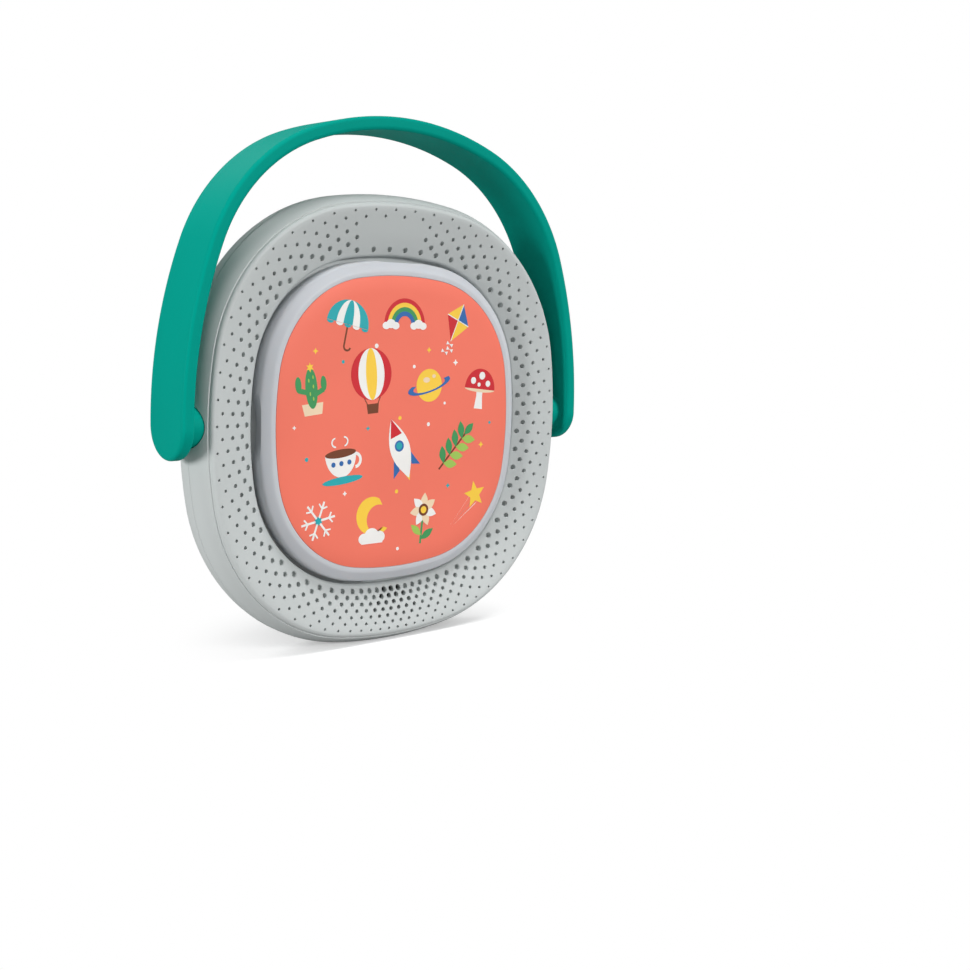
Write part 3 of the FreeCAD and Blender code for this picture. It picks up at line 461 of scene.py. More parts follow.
def soft_step(distance, width):
    """Zero before a bend and the distance past it, rounded over the width."""
    return width * math.log(1 + math.exp(distance / width))


def face_drop(inset):
    """Depth of the dished face behind its ridge, by inset from the body's outline."""
    return 0.279 * soft_step(inset - RIDGE_INSET, 0.5) + 0.159 * soft_step(inset - SLOPE_INSET, 0.9)


def dish_drop(distance):
    """Depth of the dished face behind its ridge, by distance from the recess."""
    return face_drop(SLOPE_INSET + DISH_REACH - distance)


def face_slope(inset):
    return (face_drop(inset + 0.05) - face_drop(inset - 0.05)) / 0.1


def steps(first, last, count):
    """Even steps from first to last, both included."""
    return [first + (last - first) * number / count for number in range(count + 1)]


# Perforation, by the rule of the solids with every row, and columns that straddle the top centre

def outline_point(inset, angle):
    """A point of the body's outline seen from its centre at an angle, and the way outwards."""
    direction = Vector((math.cos(angle), math.sin(angle)))
    for centre, radius, first, last in BODY:
        along = centre.dot(direction)
        reach = along + math.sqrt((radius - inset) ** 2 - centre.dot(centre) + along ** 2)
        point = direction * reach
        turn = math.atan2(point.y - centre.y, point.x - centre.x)
        turn += 2 * math.pi * round(((first + last) / 2 - turn) / (2 * math.pi))
        if first - 1e-9 <= turn <= last + 1e-9:
            return point, (point - centre).normalized()
    raise ValueError("the angle meets no arc")


def hole_angles():
    """Angles of a row's holes from the bottom up one side, where they crowd together."""
    angles = [0.0]
    while angles[-1] < math.pi:
        crowd = math.exp(-(angles[-1] / math.radians(CROWDED_REACH)) ** 2)
        angles.append(angles[-1] + math.radians(WIDE_STEP - CROWDING * crowd))
    stretch = 2 * math.pi / (angles[-1] + angles[-2])
    return [angle * stretch for angle in angles]


def holes():
    """(place, way outwards, inset, radius, open) of every hole."""
    found = []
    speaker = Vector((0, SPEAKER_UP - BODY_HALF))
    for row in range(ROWS):
        inset = FIRST_ROW_INSET - row * ROW_PITCH
        radius = LARGEST_HOLE - HOLE_SHRINK * row / (ROWS - 1)
        angles = hole_angles()
        if row % 2:
            angles = [(first + second) / 2 for first, second in zip(angles, angles[1:])]
        else:
            angles = angles[:-1]
        for angle in angles:
            for side in (1, -1):
                shared = angle == 0 or angle == angles[-1] and row % 2 == 1
                if side < 0 and shared:
                    continue
                place, outwards = outline_point(inset, side * angle - math.pi / 2)
                if 1 <= row <= 4 and place.y > 0 and BARE_LEFT < place.x < BARE_RIGHT:
                    continue
                through = (place - speaker).length < OPEN_REACH
                found.append((place, outwards, inset, radius, through))
    return found


def side_inset(along, radius):
    """Inset of the rounded side wall, by the distance in front of the lip."""
    return SIDE_ROUND - math.sqrt(radius ** 2 - along ** 2)


def recess_rings():
    """From the middle of the recess floor to the recess's edge."""
    rings = [(None, RECESS_FLOOR)]
    for inset in (36.0, 18.0, 4.0, 0.5, -0.9):
        rings.append((outline(DISC, inset), RECESS_FLOOR))
    fillet = 0.6
    for angle in steps(0, math.pi / 2, 5)[1:]:
        rings.append((outline(DISC, fillet - RECESS_GAP - fillet * math.sin(angle)),
                      RECESS_FLOOR - fillet * (1 - math.cos(angle))))
    rings.append((outline(DISC, -RECESS_GAP), FACE_TOP + dish_drop(0.0) + 1.6))
    return rings


def face_rings():
    """Up the dish and the sloping face to the ridge, then round the outer edge to the crest."""
    rings = []
    rounded = 0.9
    for distance in (0.0, 0.05, 0.13, 0.25, 0.42, 0.65, rounded):
        rounding = 0.75 * (1 - distance / rounded) ** 2.2
        rings.append((dish_outline(distance), FACE_TOP + dish_drop(distance) + rounding))
    for distance in steps(rounded, DISH_REACH, 9)[1:-1]:
        rings.append((dish_outline(distance), FACE_TOP + dish_drop(distance)))
    for inset in steps(SLOPE_INSET, 7.0, 11) + [6.4, 5.9, 5.4, 5.0]:
        rings.append((outline(BODY, inset), FACE_TOP + face_drop(inset)))
    for angle in steps(0, math.radians(84), 9):
        rings.append((outline(BODY, 4.9 - 1.5 * math.sin(angle)), FACE_TOP + 0.02
                      + FACE_EDGE * (1 - math.cos(angle))))
    rings.append((outline(BODY, 3.32), CREST + 0.12))
    rings.append((outline(BODY, 3.2), CREST + 0.1))
    return rings


def wall_rings():
    """Back along the rounded side wall to the parting line, and round the lip."""
    rings = []
    for along in [8.42, 8.3, 8.1] + steps(7.8, 0.0, 16):
        rings.append((outline(BODY, side_inset(along, SIDE_ROUND)), PARTING - LIP - along))
    rings.append((outline(BODY, 0.0), PARTING - 0.34))
    rings.append((outline(BODY, 0.06), PARTING - 0.2))
    rings.append((outline(BODY, 0.4), PARTING))
    rings.append((outline(BODY, LIP_WALL), PARTING))
    return rings


def inner_rings():
    """Forwards inside the wall, inwards under the face and over the back of the recess floor."""
    rings = []
    for along in steps(0.0, 6.5, 6):
        rings.append((outline(BODY, side_inset(along, SIDE_ROUND - LIP_WALL)), PARTING - LIP - along))
    rings.append((outline(BODY, 10.6), FACE_TOP + FACE_EDGE + WALL))
    for inset in (12.5, 14.5, SLOPE_INSET):
        rings.append((outline(BODY, inset), FACE_TOP + face_drop(inset) + WALL))
    for distance in (5.0, 3.5, WALL):
        rings.append((dish_outline(distance), FACE_TOP + dish_drop(distance) + WALL))
    rings.append((dish_outline(WALL), FLOOR_BACK))
    for inset in (4.0, 18.0, 36.0):
        rings.append((outline(DISC, inset), FLOOR_BACK))
    rings.append((None, FLOOR_BACK))
    return rings


def front_shell():
    mesh = lofted("front_shell", recess_rings() + face_rings() + wall_rings() + inner_rings(), stand=True)

    bores = []
    rims = []
    for place, outwards, inset, radius, through in holes():
        centre = (place.x, FACE_TOP + face_drop(inset), MIDDLE + place.y)
        radius *= OPEN_WIDENING if through else 1.0
        deep = OPEN_DEPTH if through else BLIND_DEPTH
        bores.append(spun(centre, (0, 1, 0), ((-1.2, radius), (deep - 0.2, radius * 0.97),
                                              (deep, radius * 0.75)), 18))
        slope = face_slope(inset)
        normal = Vector((-outwards.x * slope, -1, -outwards.y * slope)).normalized()
        rim = 0.06 + 0.08 * radius
        rims.append(spun(centre, normal, ((-rim, radius * 0.98), (0.0, radius + rim),
                                          (0.3, radius + rim + 0.3)), 18))
    bearing = ((0, BEARING_RADIUS), (12.0, BEARING_RADIUS))
    hubs = [spun((side * 80.0, PARTING, HUB), (side, 0, 0), bearing, 96) for side in (1, -1)]
    mesh = carve(mesh, [("DIFFERENCE", joined("bores", bores)), ("DIFFERENCE", joined("rims", rims)),
                        ("DIFFERENCE", joined("hubs", hubs))])
    smooth(mesh, 30)
    shell = link("front_shell", mesh, finishes["housing_grey"], "player_body",
                 ["front_housing"])
    weighted(shell)


# Carrying handle

def handle_path():
    """(place, way outwards) along the arch's middle line, from the right hub to the left."""
    radius = HANDLE_CORNER
    share = BODY_DIAGONAL / BODY_HALF
    normal = Vector((HANDLE_RISE, HANDLE_HALF)).normalized()
    corner = Vector((HANDLE_HALF * share, HANDLE_RISE * share)) - normal * radius
    across = corner.x - HANDLE_HALF
    side_radius = (radius ** 2 - across ** 2 - corner.y ** 2) / (2 * (across + radius))
    upward = corner.y - HANDLE_RISE
    top_radius = (radius ** 2 - upward ** 2 - corner.x ** 2) / (2 * (upward + radius))
    side_turn = math.atan2(corner.y, corner.x - HANDLE_HALF + side_radius)
    top_turn = math.atan2(corner.y - HANDLE_RISE + top_radius, corner.x)
    arcs = (
        (Vector((HANDLE_HALF - side_radius, 0)), side_radius, 0, side_turn, 20),
        (corner, radius, side_turn, top_turn, 40),
        (Vector((0, HANDLE_RISE - top_radius)), top_radius, top_turn, math.pi - top_turn, 40),
        (Vector((-corner.x, corner.y)), radius, math.pi - top_turn, math.pi - side_turn, 40),
        (Vector((side_radius - HANDLE_HALF, 0)), side_radius, math.pi - side_turn, math.pi, 20),
    )
    path = []
    for centre, reach, first, last, count in arcs:
        for angle in steps(first, last, count)[(1 if path else 0):]:
            outwards = Vector((math.cos(angle), math.sin(angle)))
            path.append((centre + (reach - HANDLE_THICK / 2) * outwards, outwards))
    return path


def handle_section():
    """(outwards, back) round the band's section, its four edges rounded."""
    section = []
    thick = HANDLE_THICK / 2 - HANDLE_EDGE
    wide = HANDLE_HALF_WIDTH - HANDLE_EDGE
    for corner, (out, back) in enumerate(((thick, wide), (-thick, wide), (-thick, -wide), (thick, -wide))):
        for angle in steps(corner * math.pi / 2, (corner + 1) * math.pi / 2, 7):
            section.append((out + HANDLE_EDGE * math.cos(angle), back + HANDLE_EDGE * math.sin(angle)))
    return section


def handle_band():
    """The arch's band with a half-turn at both ends, closed by flat sides."""
    section = handle_section()
    count = len(section)
    half = count // 2
    points = []
    faces = []
    path = handle_path()
    for place, outwards in path:
        for out, back in section:
            spot = place + out * outwards
            points.append((spot.x, PARTING + back, HUB + spot.y))
    for step in range(len(path) - 1):
        for number in range(count):
            after = (number + 1) % count
            low = step * count
            faces.append([low + number, low + after, low + count + after, low + count + number])
    for first, (place, outwards) in ((0, path[0]), (len(points) - count, path[-1])):
        rows = [[first + number for number in range(half)]]
        for angle in steps(0, math.pi, 48)[1:-1]:
            rows.append([len(points) + number for number in range(half)])
            for out, reach in section[:half]:
                points.append((place.x + out * outwards.x, PARTING + reach * math.cos(angle),
                               HUB - reach * math.sin(angle)))
        rows.append([first + count - 1 - number for number in range(half)])
        for near, far in zip(rows, rows[1:]):
            for number in range(half - 1):
                faces.append([near[number], near[number + 1], far[number + 1], far[number]])
        faces.append([row[0] for row in rows])
        faces.append([row[-1] for row in rows])
    return mesh_from("handle_band", points, faces)


def handle():
    unions = []
    for side in (1, -1):
        middle = (side * (HANDLE_HALF - HANDLE_THICK / 2), PARTING, HUB)
        foot = [(-12.3, 4.3), (-12.1, 4.5), (-9.6, 4.5), (-9.59, 7.5), (-9.3, 7.8), (-3.4, 7.8),
                (-3.1, 7.9), (-2.8, 8.15), (-2.55, 8.6), (-2.2, 9.0)]
        unions.append(("UNION", joined("hub", [spun(middle, (side, 0, 0), foot, 96)])))
    mesh = carve(handle_band(), unions)
    smooth(mesh, 28)
    piece = link("handle_arch", mesh, finishes["handle_teal"], "carrying_handle",
                 ["handle"])
    weighted(piece)


# Picture disc

def disc_shell():
    seat = PRINT_INSET - 0.1
    rings = [(None, DISC_FACE + PRINT_THICK)]
    for inset in (36.0, 18.0, seat):
        rings.append((outline(DISC, inset), DISC_FACE + PRINT_THICK))
    for drop, inset in ((0.16, seat), (0.05, seat - 0.05), (0.0, seat - 0.18)):
        rings.append((outline(DISC, inset), DISC_FACE + drop))
    rings.append((outline(DISC, 4.4), DISC_FACE))
    for inset, drop in ((4.05, 0.03), (3.75, 0.10), (3.4, 0.24), (2.9, 0.52), (2.2, 0.92), (1.5, 1.32),
                        (1.0, 1.62), (0.6, 1.92), (0.28, 2.28), (0.08, 2.7), (0.0, 3.2)):
        rings.append((outline(DISC, inset), DISC_FACE + drop))
    for depth in steps(DISC_FACE + 4.0, RECESS_FLOOR - 0.3, 3):
        rings.append((outline(DISC, 0.0), depth))
    rings.append((outline(DISC, 0.3), RECESS_FLOOR))
    rings.append((outline(DISC, DISC_BACK_INSET), RECESS_FLOOR))
    rings.append((outline(DISC, DISC_BACK_INSET), DISC_FACE + DISC_WALL))
    for inset in (18.0, 36.0):
        rings.append((outline(DISC, inset), DISC_FACE + DISC_WALL))
    rings.append((None, DISC_FACE + DISC_WALL))
    mesh = lofted("disc_shell", rings)
    notches = []
    reach = DISC_HALF - NOTCH_DEPTH + NOTCH_RADIUS
    for number in range(NOTCHES):
        angle = number * math.pi / 2
        centre = (reach * math.cos(angle), RECESS_FLOOR - NOTCH_TALL, MIDDLE + reach * math.sin(angle))
        profile = [(0, 38.2), (0.15, 38.9), (0.5, 39.5), (1.0, 39.85)]
        profile += [(1.6, NOTCH_RADIUS), (8.0, NOTCH_RADIUS)]
        notches.append(spun(centre, (0, 1, 0), profile, 256))
    mesh = carve(mesh, [("DIFFERENCE", joined("notches", notches))])
    smooth(mesh, 30)
    piece = link("picture_disc_shell", mesh, finishes["disc_frost"], "picture_disc",
                 ["disc_shell"])
    weighted(piece)


def print_film():
    rings = [(None, DISC_FACE)]
    for inset in (30.0, 12.0, PRINT_INSET + 0.12):
        rings.append((outline(DISC, inset), DISC_FACE))
    rings.append((outline(DISC, PRINT_INSET + 0.03), DISC_FACE + 0.03))
    rings.append((outline(DISC, PRINT_INSET), DISC_FACE + 0.1))
    rings.append((outline(DISC, PRINT_INSET), DISC_FACE + PRINT_THICK))
    rings.append((outline(DISC, 30.0), DISC_FACE + PRINT_THICK))
    rings.append((None, DISC_FACE + PRINT_THICK))
    mesh = lofted("print_film", rings)
    smooth(mesh, 40)
    link("print_film", mesh, finishes["print_coral"], "picture_disc", ["disc_print"])


# Screws, with turned heads and cross recesses

def screw(centre, profile, top, arm):
    """Points and faces of a turned screw, and of the cross that its driver fits."""
    body = spun(centre, (0, 1, 0), profile, 40)
    cross = []
    for wide, tall in ((arm, CROSS_HALF), (CROSS_HALF, arm)):
        corners = [(centre[0] + x, centre[1] + y, centre[2] + z) for y in (top - CROSS_DEPTH, top + 1.0)
                   for x, z in ((-wide, -tall), (wide, -tall), (wide, tall), (-wide, tall))]
        sides = [[0, 1, 5, 4], [1, 2, 6, 5], [2, 3, 7, 6], [3, 0, 4, 7], [0, 1, 2, 3], [4, 5, 6, 7]]
        cross.append(joined("cross", [(corners, sides)]))
    return body, cross


def screws():
    corner = outline_point(POST_INSET, math.pi / 4)[0]
    places = [(side * corner.x, up * corner.y) for side in (1, -1) for up in (1, -1)]
    places.append(tuple(outline_point(POST_INSET, math.pi / 2)[0]))
    head = ((-18.5, 0.6), (-18.0, 1.2), (0, 1.2), (0.01, 2.7), (0.12, 2.8), (0.9, 2.8), (1.25, 2.6),
            (1.5, 2.1), (1.6, 1.4))
    sets = [("housing_screw_heads", "housing_screws", "player_body", head, 1.6, 1.5,
             [(x, BACK_PLANE - SCREW_SINK, MIDDLE + z) for x, z in places])]
    flat = ((-7.15, 0.6), (-6.8, 1.2), (-0.8, 1.2), (0.45, 2.5), (0.55, 2.52), (0.6, 2.4))
    sets.append(("door_screw_head", "battery_door_screw", "bay_door", flat, 0.6, 1.4,
                 [(DOOR_SCREW_X, BACK_PLANE + BULGE, MIDDLE)]))
    for name, node, body, profile, top, arm, centres in sets:
        turned = []
        crosses = []
        for centre in centres:
            shape, cross = screw(centre, profile, top, arm)
            turned.append(shape)
            crosses += [("DIFFERENCE", tool) for tool in cross]
        mesh = carve(joined(name, turned), crosses)
        smooth(mesh, 35)
        link(name, mesh, finishes["screw_steel"], body, [node])


# Printed motifs: flat shapes in millimetres round (0, 0), about 18 mm across

INKS = {
    "white": (0.86, 0.85, 0.82),
    "cream": (0.85, 0.66, 0.45),
    "yellow": (0.93, 0.60, 0.06),
    "teal": (0.02, 0.38, 0.42),
    "blue": (0.03, 0.14, 0.40),
    "green": (0.05, 0.30, 0.10),
    "lime": (0.34, 0.55, 0.10),
    "red": (0.60, 0.02, 0.03),
    "brown": (0.17, 0.05, 0.02),
}


def oval(x, z, wide, tall, first=0, last=360, count=40):
    """An ellipse or, between two angles in degrees, a part of its edge."""
    whole = last - first >= 360
    angles = steps(math.radians(first), math.radians(last), count)
    if whole:
        angles = angles[:-1]
    return [(x + wide * math.cos(angle), z + tall * math.sin(angle)) for angle in angles]


def bow(x, z, inner, outer, first, last, count=30):
    """A part of a ring."""
    return oval(x, z, outer, outer, first, last, count) + oval(x, z, inner, inner, first, last, count)[::-1]


def bar(x0, z0, x1, z1, thick):
    """A straight stroke."""
    run = Vector((x1 - x0, z1 - z0)).normalized() * thick / 2
    side = Vector((-run.y, run.x))
    return [(x0 + side.x, z0 + side.y), (x0 - side.x, z0 - side.y),
            (x1 - side.x, z1 - side.y), (x1 + side.x, z1 + side.y)]


def burst(x, z, outer, inner, points, turn=90):
    """A star, the first of its points at the turn."""
    shape = []
    for number in range(points * 2):
        radius = inner if number % 2 else outer
        angle = math.radians(turn + 180 * number / points)
        shape.append((x + radius * math.cos(angle), z + radius * math.sin(angle)))
    return shape


def leaf_shape(x0, z0, x1, z1, fat):
    """A pointed leaf from one end to the other, as fat to either side of its middle."""
    run = Vector((x1 - x0, z1 - z0))
    side = Vector((-run.y, run.x)).normalized() * fat
    start = Vector((x0, z0))
    there = [start + run * share + side * math.sin(math.pi * share) for share in steps(0, 1, 14)]
    back = [start + run * share - side * math.sin(math.pi * share) for share in steps(1, 0, 14)][1:-1]
    return [(point.x, point.y) for point in there + back]


def umbrella():
    shapes = [("brown", bar(0, 0, 0, -8, 0.7)), ("brown", bow(1.4, -8, 1.05, 1.75, 180, 350))]
    shapes.append(("teal", oval(0, -0.5, 9, 8.5, 0, 180)))
    shapes.append(("white", oval(0, -0.5, 5, 8.5, 0, 180)))
    shapes.append(("teal", oval(0, -0.5, 2, 8.5, 0, 180)))
    shapes += [("teal", oval(x, -0.6, 1.5, 1.0, 180, 360, 12)) for x in (-7.5, 0, 7.5)]
    shapes += [("white", oval(x, -0.6, 1.5, 1.0, 180, 360, 12)) for x in (-3.6, 3.6)]
    return shapes


def kite():
    shapes = [("yellow", [(0, 9), (-6, 2), (0, -7), (6, 2)]), ("blue", [(0, 9), (0, 2), (6, 2)])]
    shapes += [("red", [(0, -7), (0, 2), (-6, 2)]), ("white", bar(0, 9, 0, -7, 0.35))]
    shapes.append(("white", bar(-6, 2, 6, 2, 0.35)))
    for number in range(3):
        x = 1.2 * math.sin(number * 2.4)
        z = -8.3 - number * 1.9
        shapes.append(("white", [(x, z), (x - 1.6, z + 0.8), (x - 1.6, z - 0.8)]))
        shapes.append(("white", [(x, z), (x + 1.6, z - 0.8), (x + 1.6, z + 0.8)]))
    return shapes


def air_balloon():
    shapes = [("brown", [(-1.8, -8.6), (1.8, -8.6), (2.1, -5.9), (-2.1, -5.9)])]
    shapes += [("brown", bar(side * 1.8, -6, side * 4.2, -1.4, 0.3)) for side in (1, -1)]
    shapes.append(("red", oval(0, 2.4, 7, 7.2)))
    shapes.append(("white", oval(0, 2.4, 4.5, 7.2)))
    shapes.append(("yellow", oval(0, 2.4, 1.9, 7.2)))
    return shapes


def mushroom():
    shapes = [("white", [(-2, -7.5), (2.2, -7.5), (1.6, -3), (1.5, 1), (-1.5, 1), (-1.4, -3)])]
    shapes += [("red", oval(0, 0, 7.6, 7.8, 0, 180)), ("cream", oval(0, 0, 7.6, 1.2, 180, 360))]
    for x, z, size in ((-3.6, 3, 1.3), (0.6, 5.2, 1.5), (3.9, 2.4, 1.2), (-0.6, 1.7, 0.8)):
        shapes.append(("white", oval(x, z, size, size, count=18)))
    return shapes


def rocket():
    shapes = [("yellow", [(-1.6, -6.4), (1.6, -6.4), (0, -10.2)])]
    shapes += [("blue", [(side * 2.4, -5.8), (side * 5.4, -7.2), (side * 2.8, -0.6)]) for side in (1, -1)]
    shapes.append(("white", leaf_shape(0, -9.4, 0, 10, 3.7)))
    shapes.append(("red", [(-2.25, 4.4), (0, 10), (2.25, 4.4)]))
    shapes += [("blue", oval(0, 1.2, 1.7, 1.7)), ("teal", oval(0, 1.2, 1.1, 1.1))]
    return shapes


def cactus():
    shapes = [("cream", [(-3.6, -8), (3.6, -8), (4.4, -4), (-4.4, -4)])]
    shapes += [("green", oval(0, 1.2, 2.5, 7.0)), ("green", bar(-5.2, 1, 0, -0.6, 1.8))]
    shapes += [("green", oval(-5.2, 2.9, 1.25, 2.8)), ("green", bar(0, -1.6, 5, 0.4, 1.8))]
    shapes += [("green", oval(5.1, 2.4, 1.2, 2.6)), ("yellow", burst(0, 8.4, 1.7, 0.8, 6))]
    shapes += [("lime", oval(x, z, 0.3, 0.7, count=10)) for x, z in ((-0.9, 4), (0.8, 1.8), (-0.7, -0.6),
                                                                    (0.9, 5), (0.5, -2.4))]
    return shapes


def teacup():
    shapes = [("white", bow(5.2, -1.6, 1.6, 2.6, -90, 90)), ("white", oval(0, 1.2, 5.8, 7.4, 180, 360))]
    shapes += [("brown", oval(0, 1.2, 5.8, 1.3)), ("teal", oval(0, -7.2, 7.6, 1.2))]
    shapes += [("blue", oval(x, -1.9, 0.8, 0.8, count=14)) for x in (-3, 0, 3)]
    shapes += [("white", bow(side * 1.6, 4.8, 1.1, 1.6, 90 if side < 0 else -90, 270 if side < 0 else 90))
               for side in (1, -1)]
    return shapes


def snowflake():
    shapes = []
    for number in range(3):
        angle = math.radians(60 * number)
        x = 8.2 * math.cos(angle)
        z = 8.2 * math.sin(angle)
        shapes.append(("white", bar(-x, -z, x, z, 0.9)))
    for number in range(6):
        angle = math.radians(60 * number)
        stem = Vector((math.cos(angle), math.sin(angle))) * 5.2
        for turn in (-55, 55):
            tip = stem + Vector((math.cos(angle + math.radians(turn)),
                                 math.sin(angle + math.radians(turn)))) * 2.6
            shapes.append(("white", bar(stem.x, stem.y, tip.x, tip.y, 0.7)))
    shapes.append(("teal", burst(0, 0, 2.0, 1.2, 6)))
    return shapes


def rainbow():
    shapes = [(ink, bow(0, -4, inner, inner + 1.7, 0, 180)) for ink, inner in
              (("red", 7.9), ("yellow", 6.3), ("green", 4.7), ("blue", 3.1))]
    for side in (1, -1):
        shapes += [("white", oval(side * 6.5 + x, z, size, size * 0.8, count=24))
                   for x, z, size in ((-2.2, -4.5, 1.7), (0, -3.8, 2.1), (2.2, -4.5, 1.7))]
    return shapes


def planet():
    shapes = [("white", oval(-6.5, 6.2, 0.6, 0.6, count=10)), ("white", oval(6.8, -6, 0.5, 0.5, count=10))]
    shapes += [("yellow", oval(0, 0, 5.4, 5.4)), ("cream", oval(-1.2, 1.8, 1.4, 0.9, count=20))]
    shapes += [("cream", oval(1.9, 3, 0.8, 0.6, count=16))]
    ring = bow(0, 0, 6.9, 9.2, 150, 390, 50)
    shapes.append(("blue", [(x * 0.96 + z * 0.08, z * 0.28 + x * 0.22) for x, z in ring]))
    return shapes


def twig():
    shapes = [("brown", bar(-6.5, -6.5, 6, 6.2, 0.7))]
    for share in (0.16, 0.38, 0.6, 0.82):
        x = -6.5 + 12.5 * share
        z = -6.5 + 12.7 * share
        shapes.append(("green", leaf_shape(x, z, x - 0.8, z + 6.2, 1.5)))
        shapes.append(("lime", leaf_shape(x, z, x + 6.2, z - 0.8, 1.5)))
    shapes.append(("green", leaf_shape(5, 5.2, 9, 9.2, 1.4)))
    return shapes


def shooting_star():
    shapes = [(ink, [(2.4 + shift, 1.4 - shift), (3.4 + shift, 2.4 - shift), (-8.6 + shift * 0.4, -8.4)])
              for ink, shift in (("white", -1.6), ("teal", 0.0), ("white", 1.6))]
    shapes.append(("yellow", burst(3.6, 3.6, 5.6, 2.5, 5, 100)))
    return shapes


def moon_cloud():
    crescent = oval(0, 2.5, 6.4, 6.4, 60, 320) + oval(2.9, 1.1, 5.0, 5.0, 72, 318)[::-1]
    shapes = [("yellow", crescent)]
    shapes += [("white", oval(x, z, size, size * 0.85, count=28))
               for x, z, size in ((-3.2, -5.2, 2.2), (0, -4.2, 2.9), (3.2, -5.0, 2.4))]
    shapes.append(("white", bar(-4.2, -6.1, 4.6, -6.1, 1.9)))
    return shapes


def flower():
    shapes = [("green", bar(0, -9, 0, 0, 0.9)), ("green", leaf_shape(0, -7.5, 5.4, -3.4, 1.4))]
    shapes.append(("lime", leaf_shape(0, -6, -5, -2.4, 1.3)))
    for number in range(7):
        angle = math.radians(360 * number / 7 + 90)
        shapes.append(("white" if number % 2 else "cream",
                       leaf_shape(0, 3.2, 6.2 * math.cos(angle), 3.2 + 6.2 * math.sin(angle), 1.6)))
    shapes += [("brown", oval(0, 3.2, 2.2, 2.2, count=24)), ("yellow", oval(0, 3.2, 1.3, 1.3, count=20))]
    return shapes


# (motif, x, z, scale, turn in degrees), from the disc's middle
LAYOUT = (
    (umbrella, -25.5, 38.5, 0.98, -12), (rainbow, 1.5, 42.5, 0.95, 0), (kite, 28.0, 38.5, 0.92, -24),
    (cactus, -41.5, 13.0, 0.98, 6), (air_balloon, -14.0, 16.0, 1.25, 4), (planet, 14.5, 14.5, 1.1, 0),
    (mushroom, 41.5, 12.5, 0.98, -6), (teacup, -28.0, -12.0, 1.12, 6), (rocket, 0.5, -10.5, 1.2, 22),
    (twig, 28.0, -12.0, 1.05, 0), (snowflake, -38.0, -35.5, 0.85, 10), (moon_cloud, -13.0, -38.5, 1.05, 0),
    (flower, 12.5, -39.0, 1.02, -6), (shooting_star, 36.5, -35.0, 0.95, 0),
)

# (x, z, size) of the dots and small stars between them
DOTS = ((-12, 30, 0.9), (14, 28.5, 0.8), (-27.5, 24, 0.7), (28, 23.5, 0.9), (0, 2, 0.8), (-15.5, -1.5, 0.7),
        (14.5, -1, 0.8), (43, -10.5, 0.9), (-43.5, -12, 0.8), (-26, -26, 0.7), (-1, -27, 0.8),
        (25.5, -26.5, 0.8), (0, -50, 0.7), (-40, 28, 0.8), (47.5, -1.5, 0.6), (-49, 0, 0.6))


def motifs():
    """All printed shapes as one mesh, each shape a hair above the one below it."""
    drawn = []
    for motif, x, z, scale, turn in LAYOUT:
        spin = Matrix.Rotation(math.radians(turn), 2)
        for layer, (ink, shape) in enumerate(motif()):
            placed = [spin @ Vector(point) * scale * MOTIF_SCALE + Vector((x, z)) for point in shape]
            drawn.append((ink, layer, placed))
    for number, (x, z, size) in enumerate(DOTS):
        ink = ("white", "yellow", "teal")[number % 3]
        shape = burst(x, z, size * 1.5, size * 0.7, 4) if number % 2 else oval(x, z, size, size, count=16)
        drawn.append((ink, 0, [Vector(point) for point in shape]))
    mesh = bpy.data.meshes.new("print_motifs")
    names = list(INKS)
    for name in names:
        mesh.materials.append(moulded("ink_" + name, INKS[name], 0.45, 3000, 0.14, 0.03, 60.0,
                                      gloss=0.2))
    work = bmesh.new()
    for ink, layer, shape in drawn:
        depth = DISC_FACE - INK_LIFT - INK_LAYER * layer
        points = [work.verts.new(Vector((p.x, depth, MIDDLE + p.y)) * MM) for p in shape]
        face = work.faces.new(points)
        face.normal_update()
        if face.normal.y > 0:
            face.normal_flip()
        face.material_index = names.index(ink)
    bmesh.ops.triangulate(work, faces=work.faces, ngon_method="EAR_CLIP")
    work.to_mesh(mesh)
    work.free()
    link("print_motifs", mesh, None, "picture_disc")


front_shell()
handle()
disc_shell()
print_film()
screws()
motifs()


# Floor, light and camera

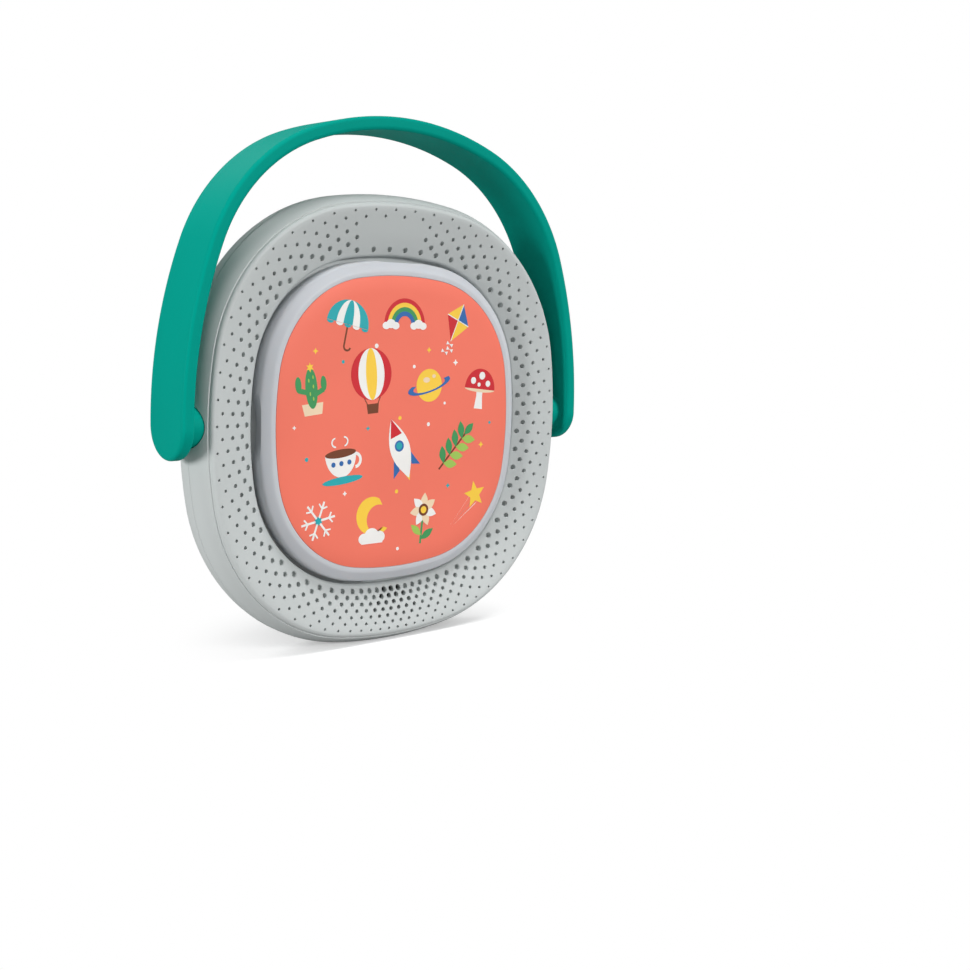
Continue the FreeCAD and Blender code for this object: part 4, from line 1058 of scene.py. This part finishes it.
def floor():
    """A plain floor that keeps the player's shadow and turns white round it, as seen by the camera."""
    mesh = bpy.data.meshes.new("floor")
    reach = 6.0
    corners = [(-reach, -reach, 0), (reach, -reach, 0), (reach, reach, 0), (-reach, reach, 0)]
    mesh.from_pydata(corners, [], [(0, 1, 2, 3)])
    piece = bpy.data.objects.new("floor", mesh)
    scene.collection.objects.link(piece)
    material, tree, shader = new_material("studio_floor")
    shader.inputs["Base Color"].default_value = (0.4, 0.4, 0.4, 1)
    shader.inputs["Roughness"].default_value = 0.8
    shader.inputs["Specular IOR Level"].default_value = 0.0
    near = tree.nodes.new("ShaderNodeBsdfDiffuse")
    near.inputs["Color"].default_value = (0.9, 0.9, 0.9, 1)
    lift = tree.nodes.new("ShaderNodeEmission")
    lift.inputs["Strength"].default_value = 0.25
    both = tree.nodes.new("ShaderNodeAddShader")
    tree.links.new(near.outputs["BSDF"], both.inputs[0])
    tree.links.new(lift.outputs["Emission"], both.inputs[1])
    place = tree.nodes.new("ShaderNodeVectorMath")
    place.operation = "LENGTH"
    tree.links.new(object_coordinates(tree), place.inputs[0])
    fade = tree.nodes.new("ShaderNodeMapRange")
    fade.interpolation_type = "SMOOTHSTEP"
    fade.inputs["From Min"].default_value = SHADOW_NEAR * MM
    fade.inputs["From Max"].default_value = SHADOW_FAR * MM
    tree.links.new(place.outputs["Value"], fade.inputs["Value"])
    white = tree.nodes.new("ShaderNodeEmission")
    seen = tree.nodes.new("ShaderNodeMixShader")
    tree.links.new(fade.outputs["Result"], seen.inputs["Fac"])
    tree.links.new(both.outputs["Shader"], seen.inputs[1])
    tree.links.new(white.outputs["Emission"], seen.inputs[2])
    ray = tree.nodes.new("ShaderNodeLightPath")
    mix = tree.nodes.new("ShaderNodeMixShader")
    tree.links.new(ray.outputs["Is Camera Ray"], mix.inputs["Fac"])
    tree.links.new(shader.outputs["BSDF"], mix.inputs[1])
    tree.links.new(seen.outputs["Shader"], mix.inputs[2])
    output = tree.nodes["Material Output"]
    tree.links.new(mix.outputs["Shader"], output.inputs["Surface"])
    mesh.materials.append(material)


def world():
    """Plain soft light from all sides, behind which the camera sees white."""
    surroundings = bpy.data.worlds.new("studio")
    scene.world = surroundings
    surroundings.use_nodes = True
    tree = surroundings.node_tree
    light = tree.nodes["Background"]
    light.inputs["Color"].default_value = (0.97, 0.985, 1.0, 1)
    light.inputs["Strength"].default_value = 0.18
    white = tree.nodes.new("ShaderNodeBackground")
    white.inputs["Color"].default_value = (1, 1, 1, 1)
    ray = tree.nodes.new("ShaderNodeLightPath")
    mix = tree.nodes.new("ShaderNodeMixShader")
    tree.links.new(ray.outputs["Is Camera Ray"], mix.inputs["Fac"])
    tree.links.new(light.outputs["Background"], mix.inputs[1])
    tree.links.new(white.outputs["Background"], mix.inputs[2])
    tree.links.new(mix.outputs["Shader"], tree.nodes["World Output"].inputs["Surface"])


def sun(name, towards, strength, angle):
    """A far lamp, its place given as a direction."""
    lamp = bpy.data.lights.new(name, "SUN")
    lamp.energy = strength
    lamp.angle = angle
    piece = bpy.data.objects.new(name, lamp)
    piece.rotation_euler = Vector(towards).to_track_quat("Z", "Y").to_euler()
    scene.collection.objects.link(piece)


def camera():
    """The camera of the photograph, as it was fitted to the player's outlines, in metres and radians."""
    yaw = 0.739
    pitch = 0.137
    roll = 0.029
    forward = Vector((math.sin(yaw) * math.cos(pitch), math.cos(yaw) * math.cos(pitch), -math.sin(pitch)))
    level = Vector((math.cos(yaw), -math.sin(yaw), 0))
    upright = level.cross(forward)
    right = level * math.cos(roll) + upright * math.sin(roll)
    up = upright * math.cos(roll) - level * math.sin(roll)
    lens = bpy.data.cameras.new("photo_camera")
    lens.lens = 46.12
    lens.sensor_width = 36.0
    lens.sensor_fit = "HORIZONTAL"
    piece = bpy.data.objects.new("photo_camera", lens)
    place = Matrix((right, up, -forward)).transposed().to_4x4()
    place.translation = Vector((-0.3017, CREST * MM - 0.3816, MIDDLE * MM + 0.0434))
    piece.matrix_world = place
    scene.collection.objects.link(piece)
    scene.camera = piece


floor()
world()
sun("key", (0.43, -0.86, 0.28), 1.85, 0.25)
sun("top", (0.10, -0.25, 0.96), 1.7, 0.40)
sun("side", (-0.98, -0.02, 0.17), 2.35, 0.30)
sun("back", (0.0, 0.72, 0.69), 0.8, 0.40)
camera()
scene.view_settings.view_transform = "Standard"
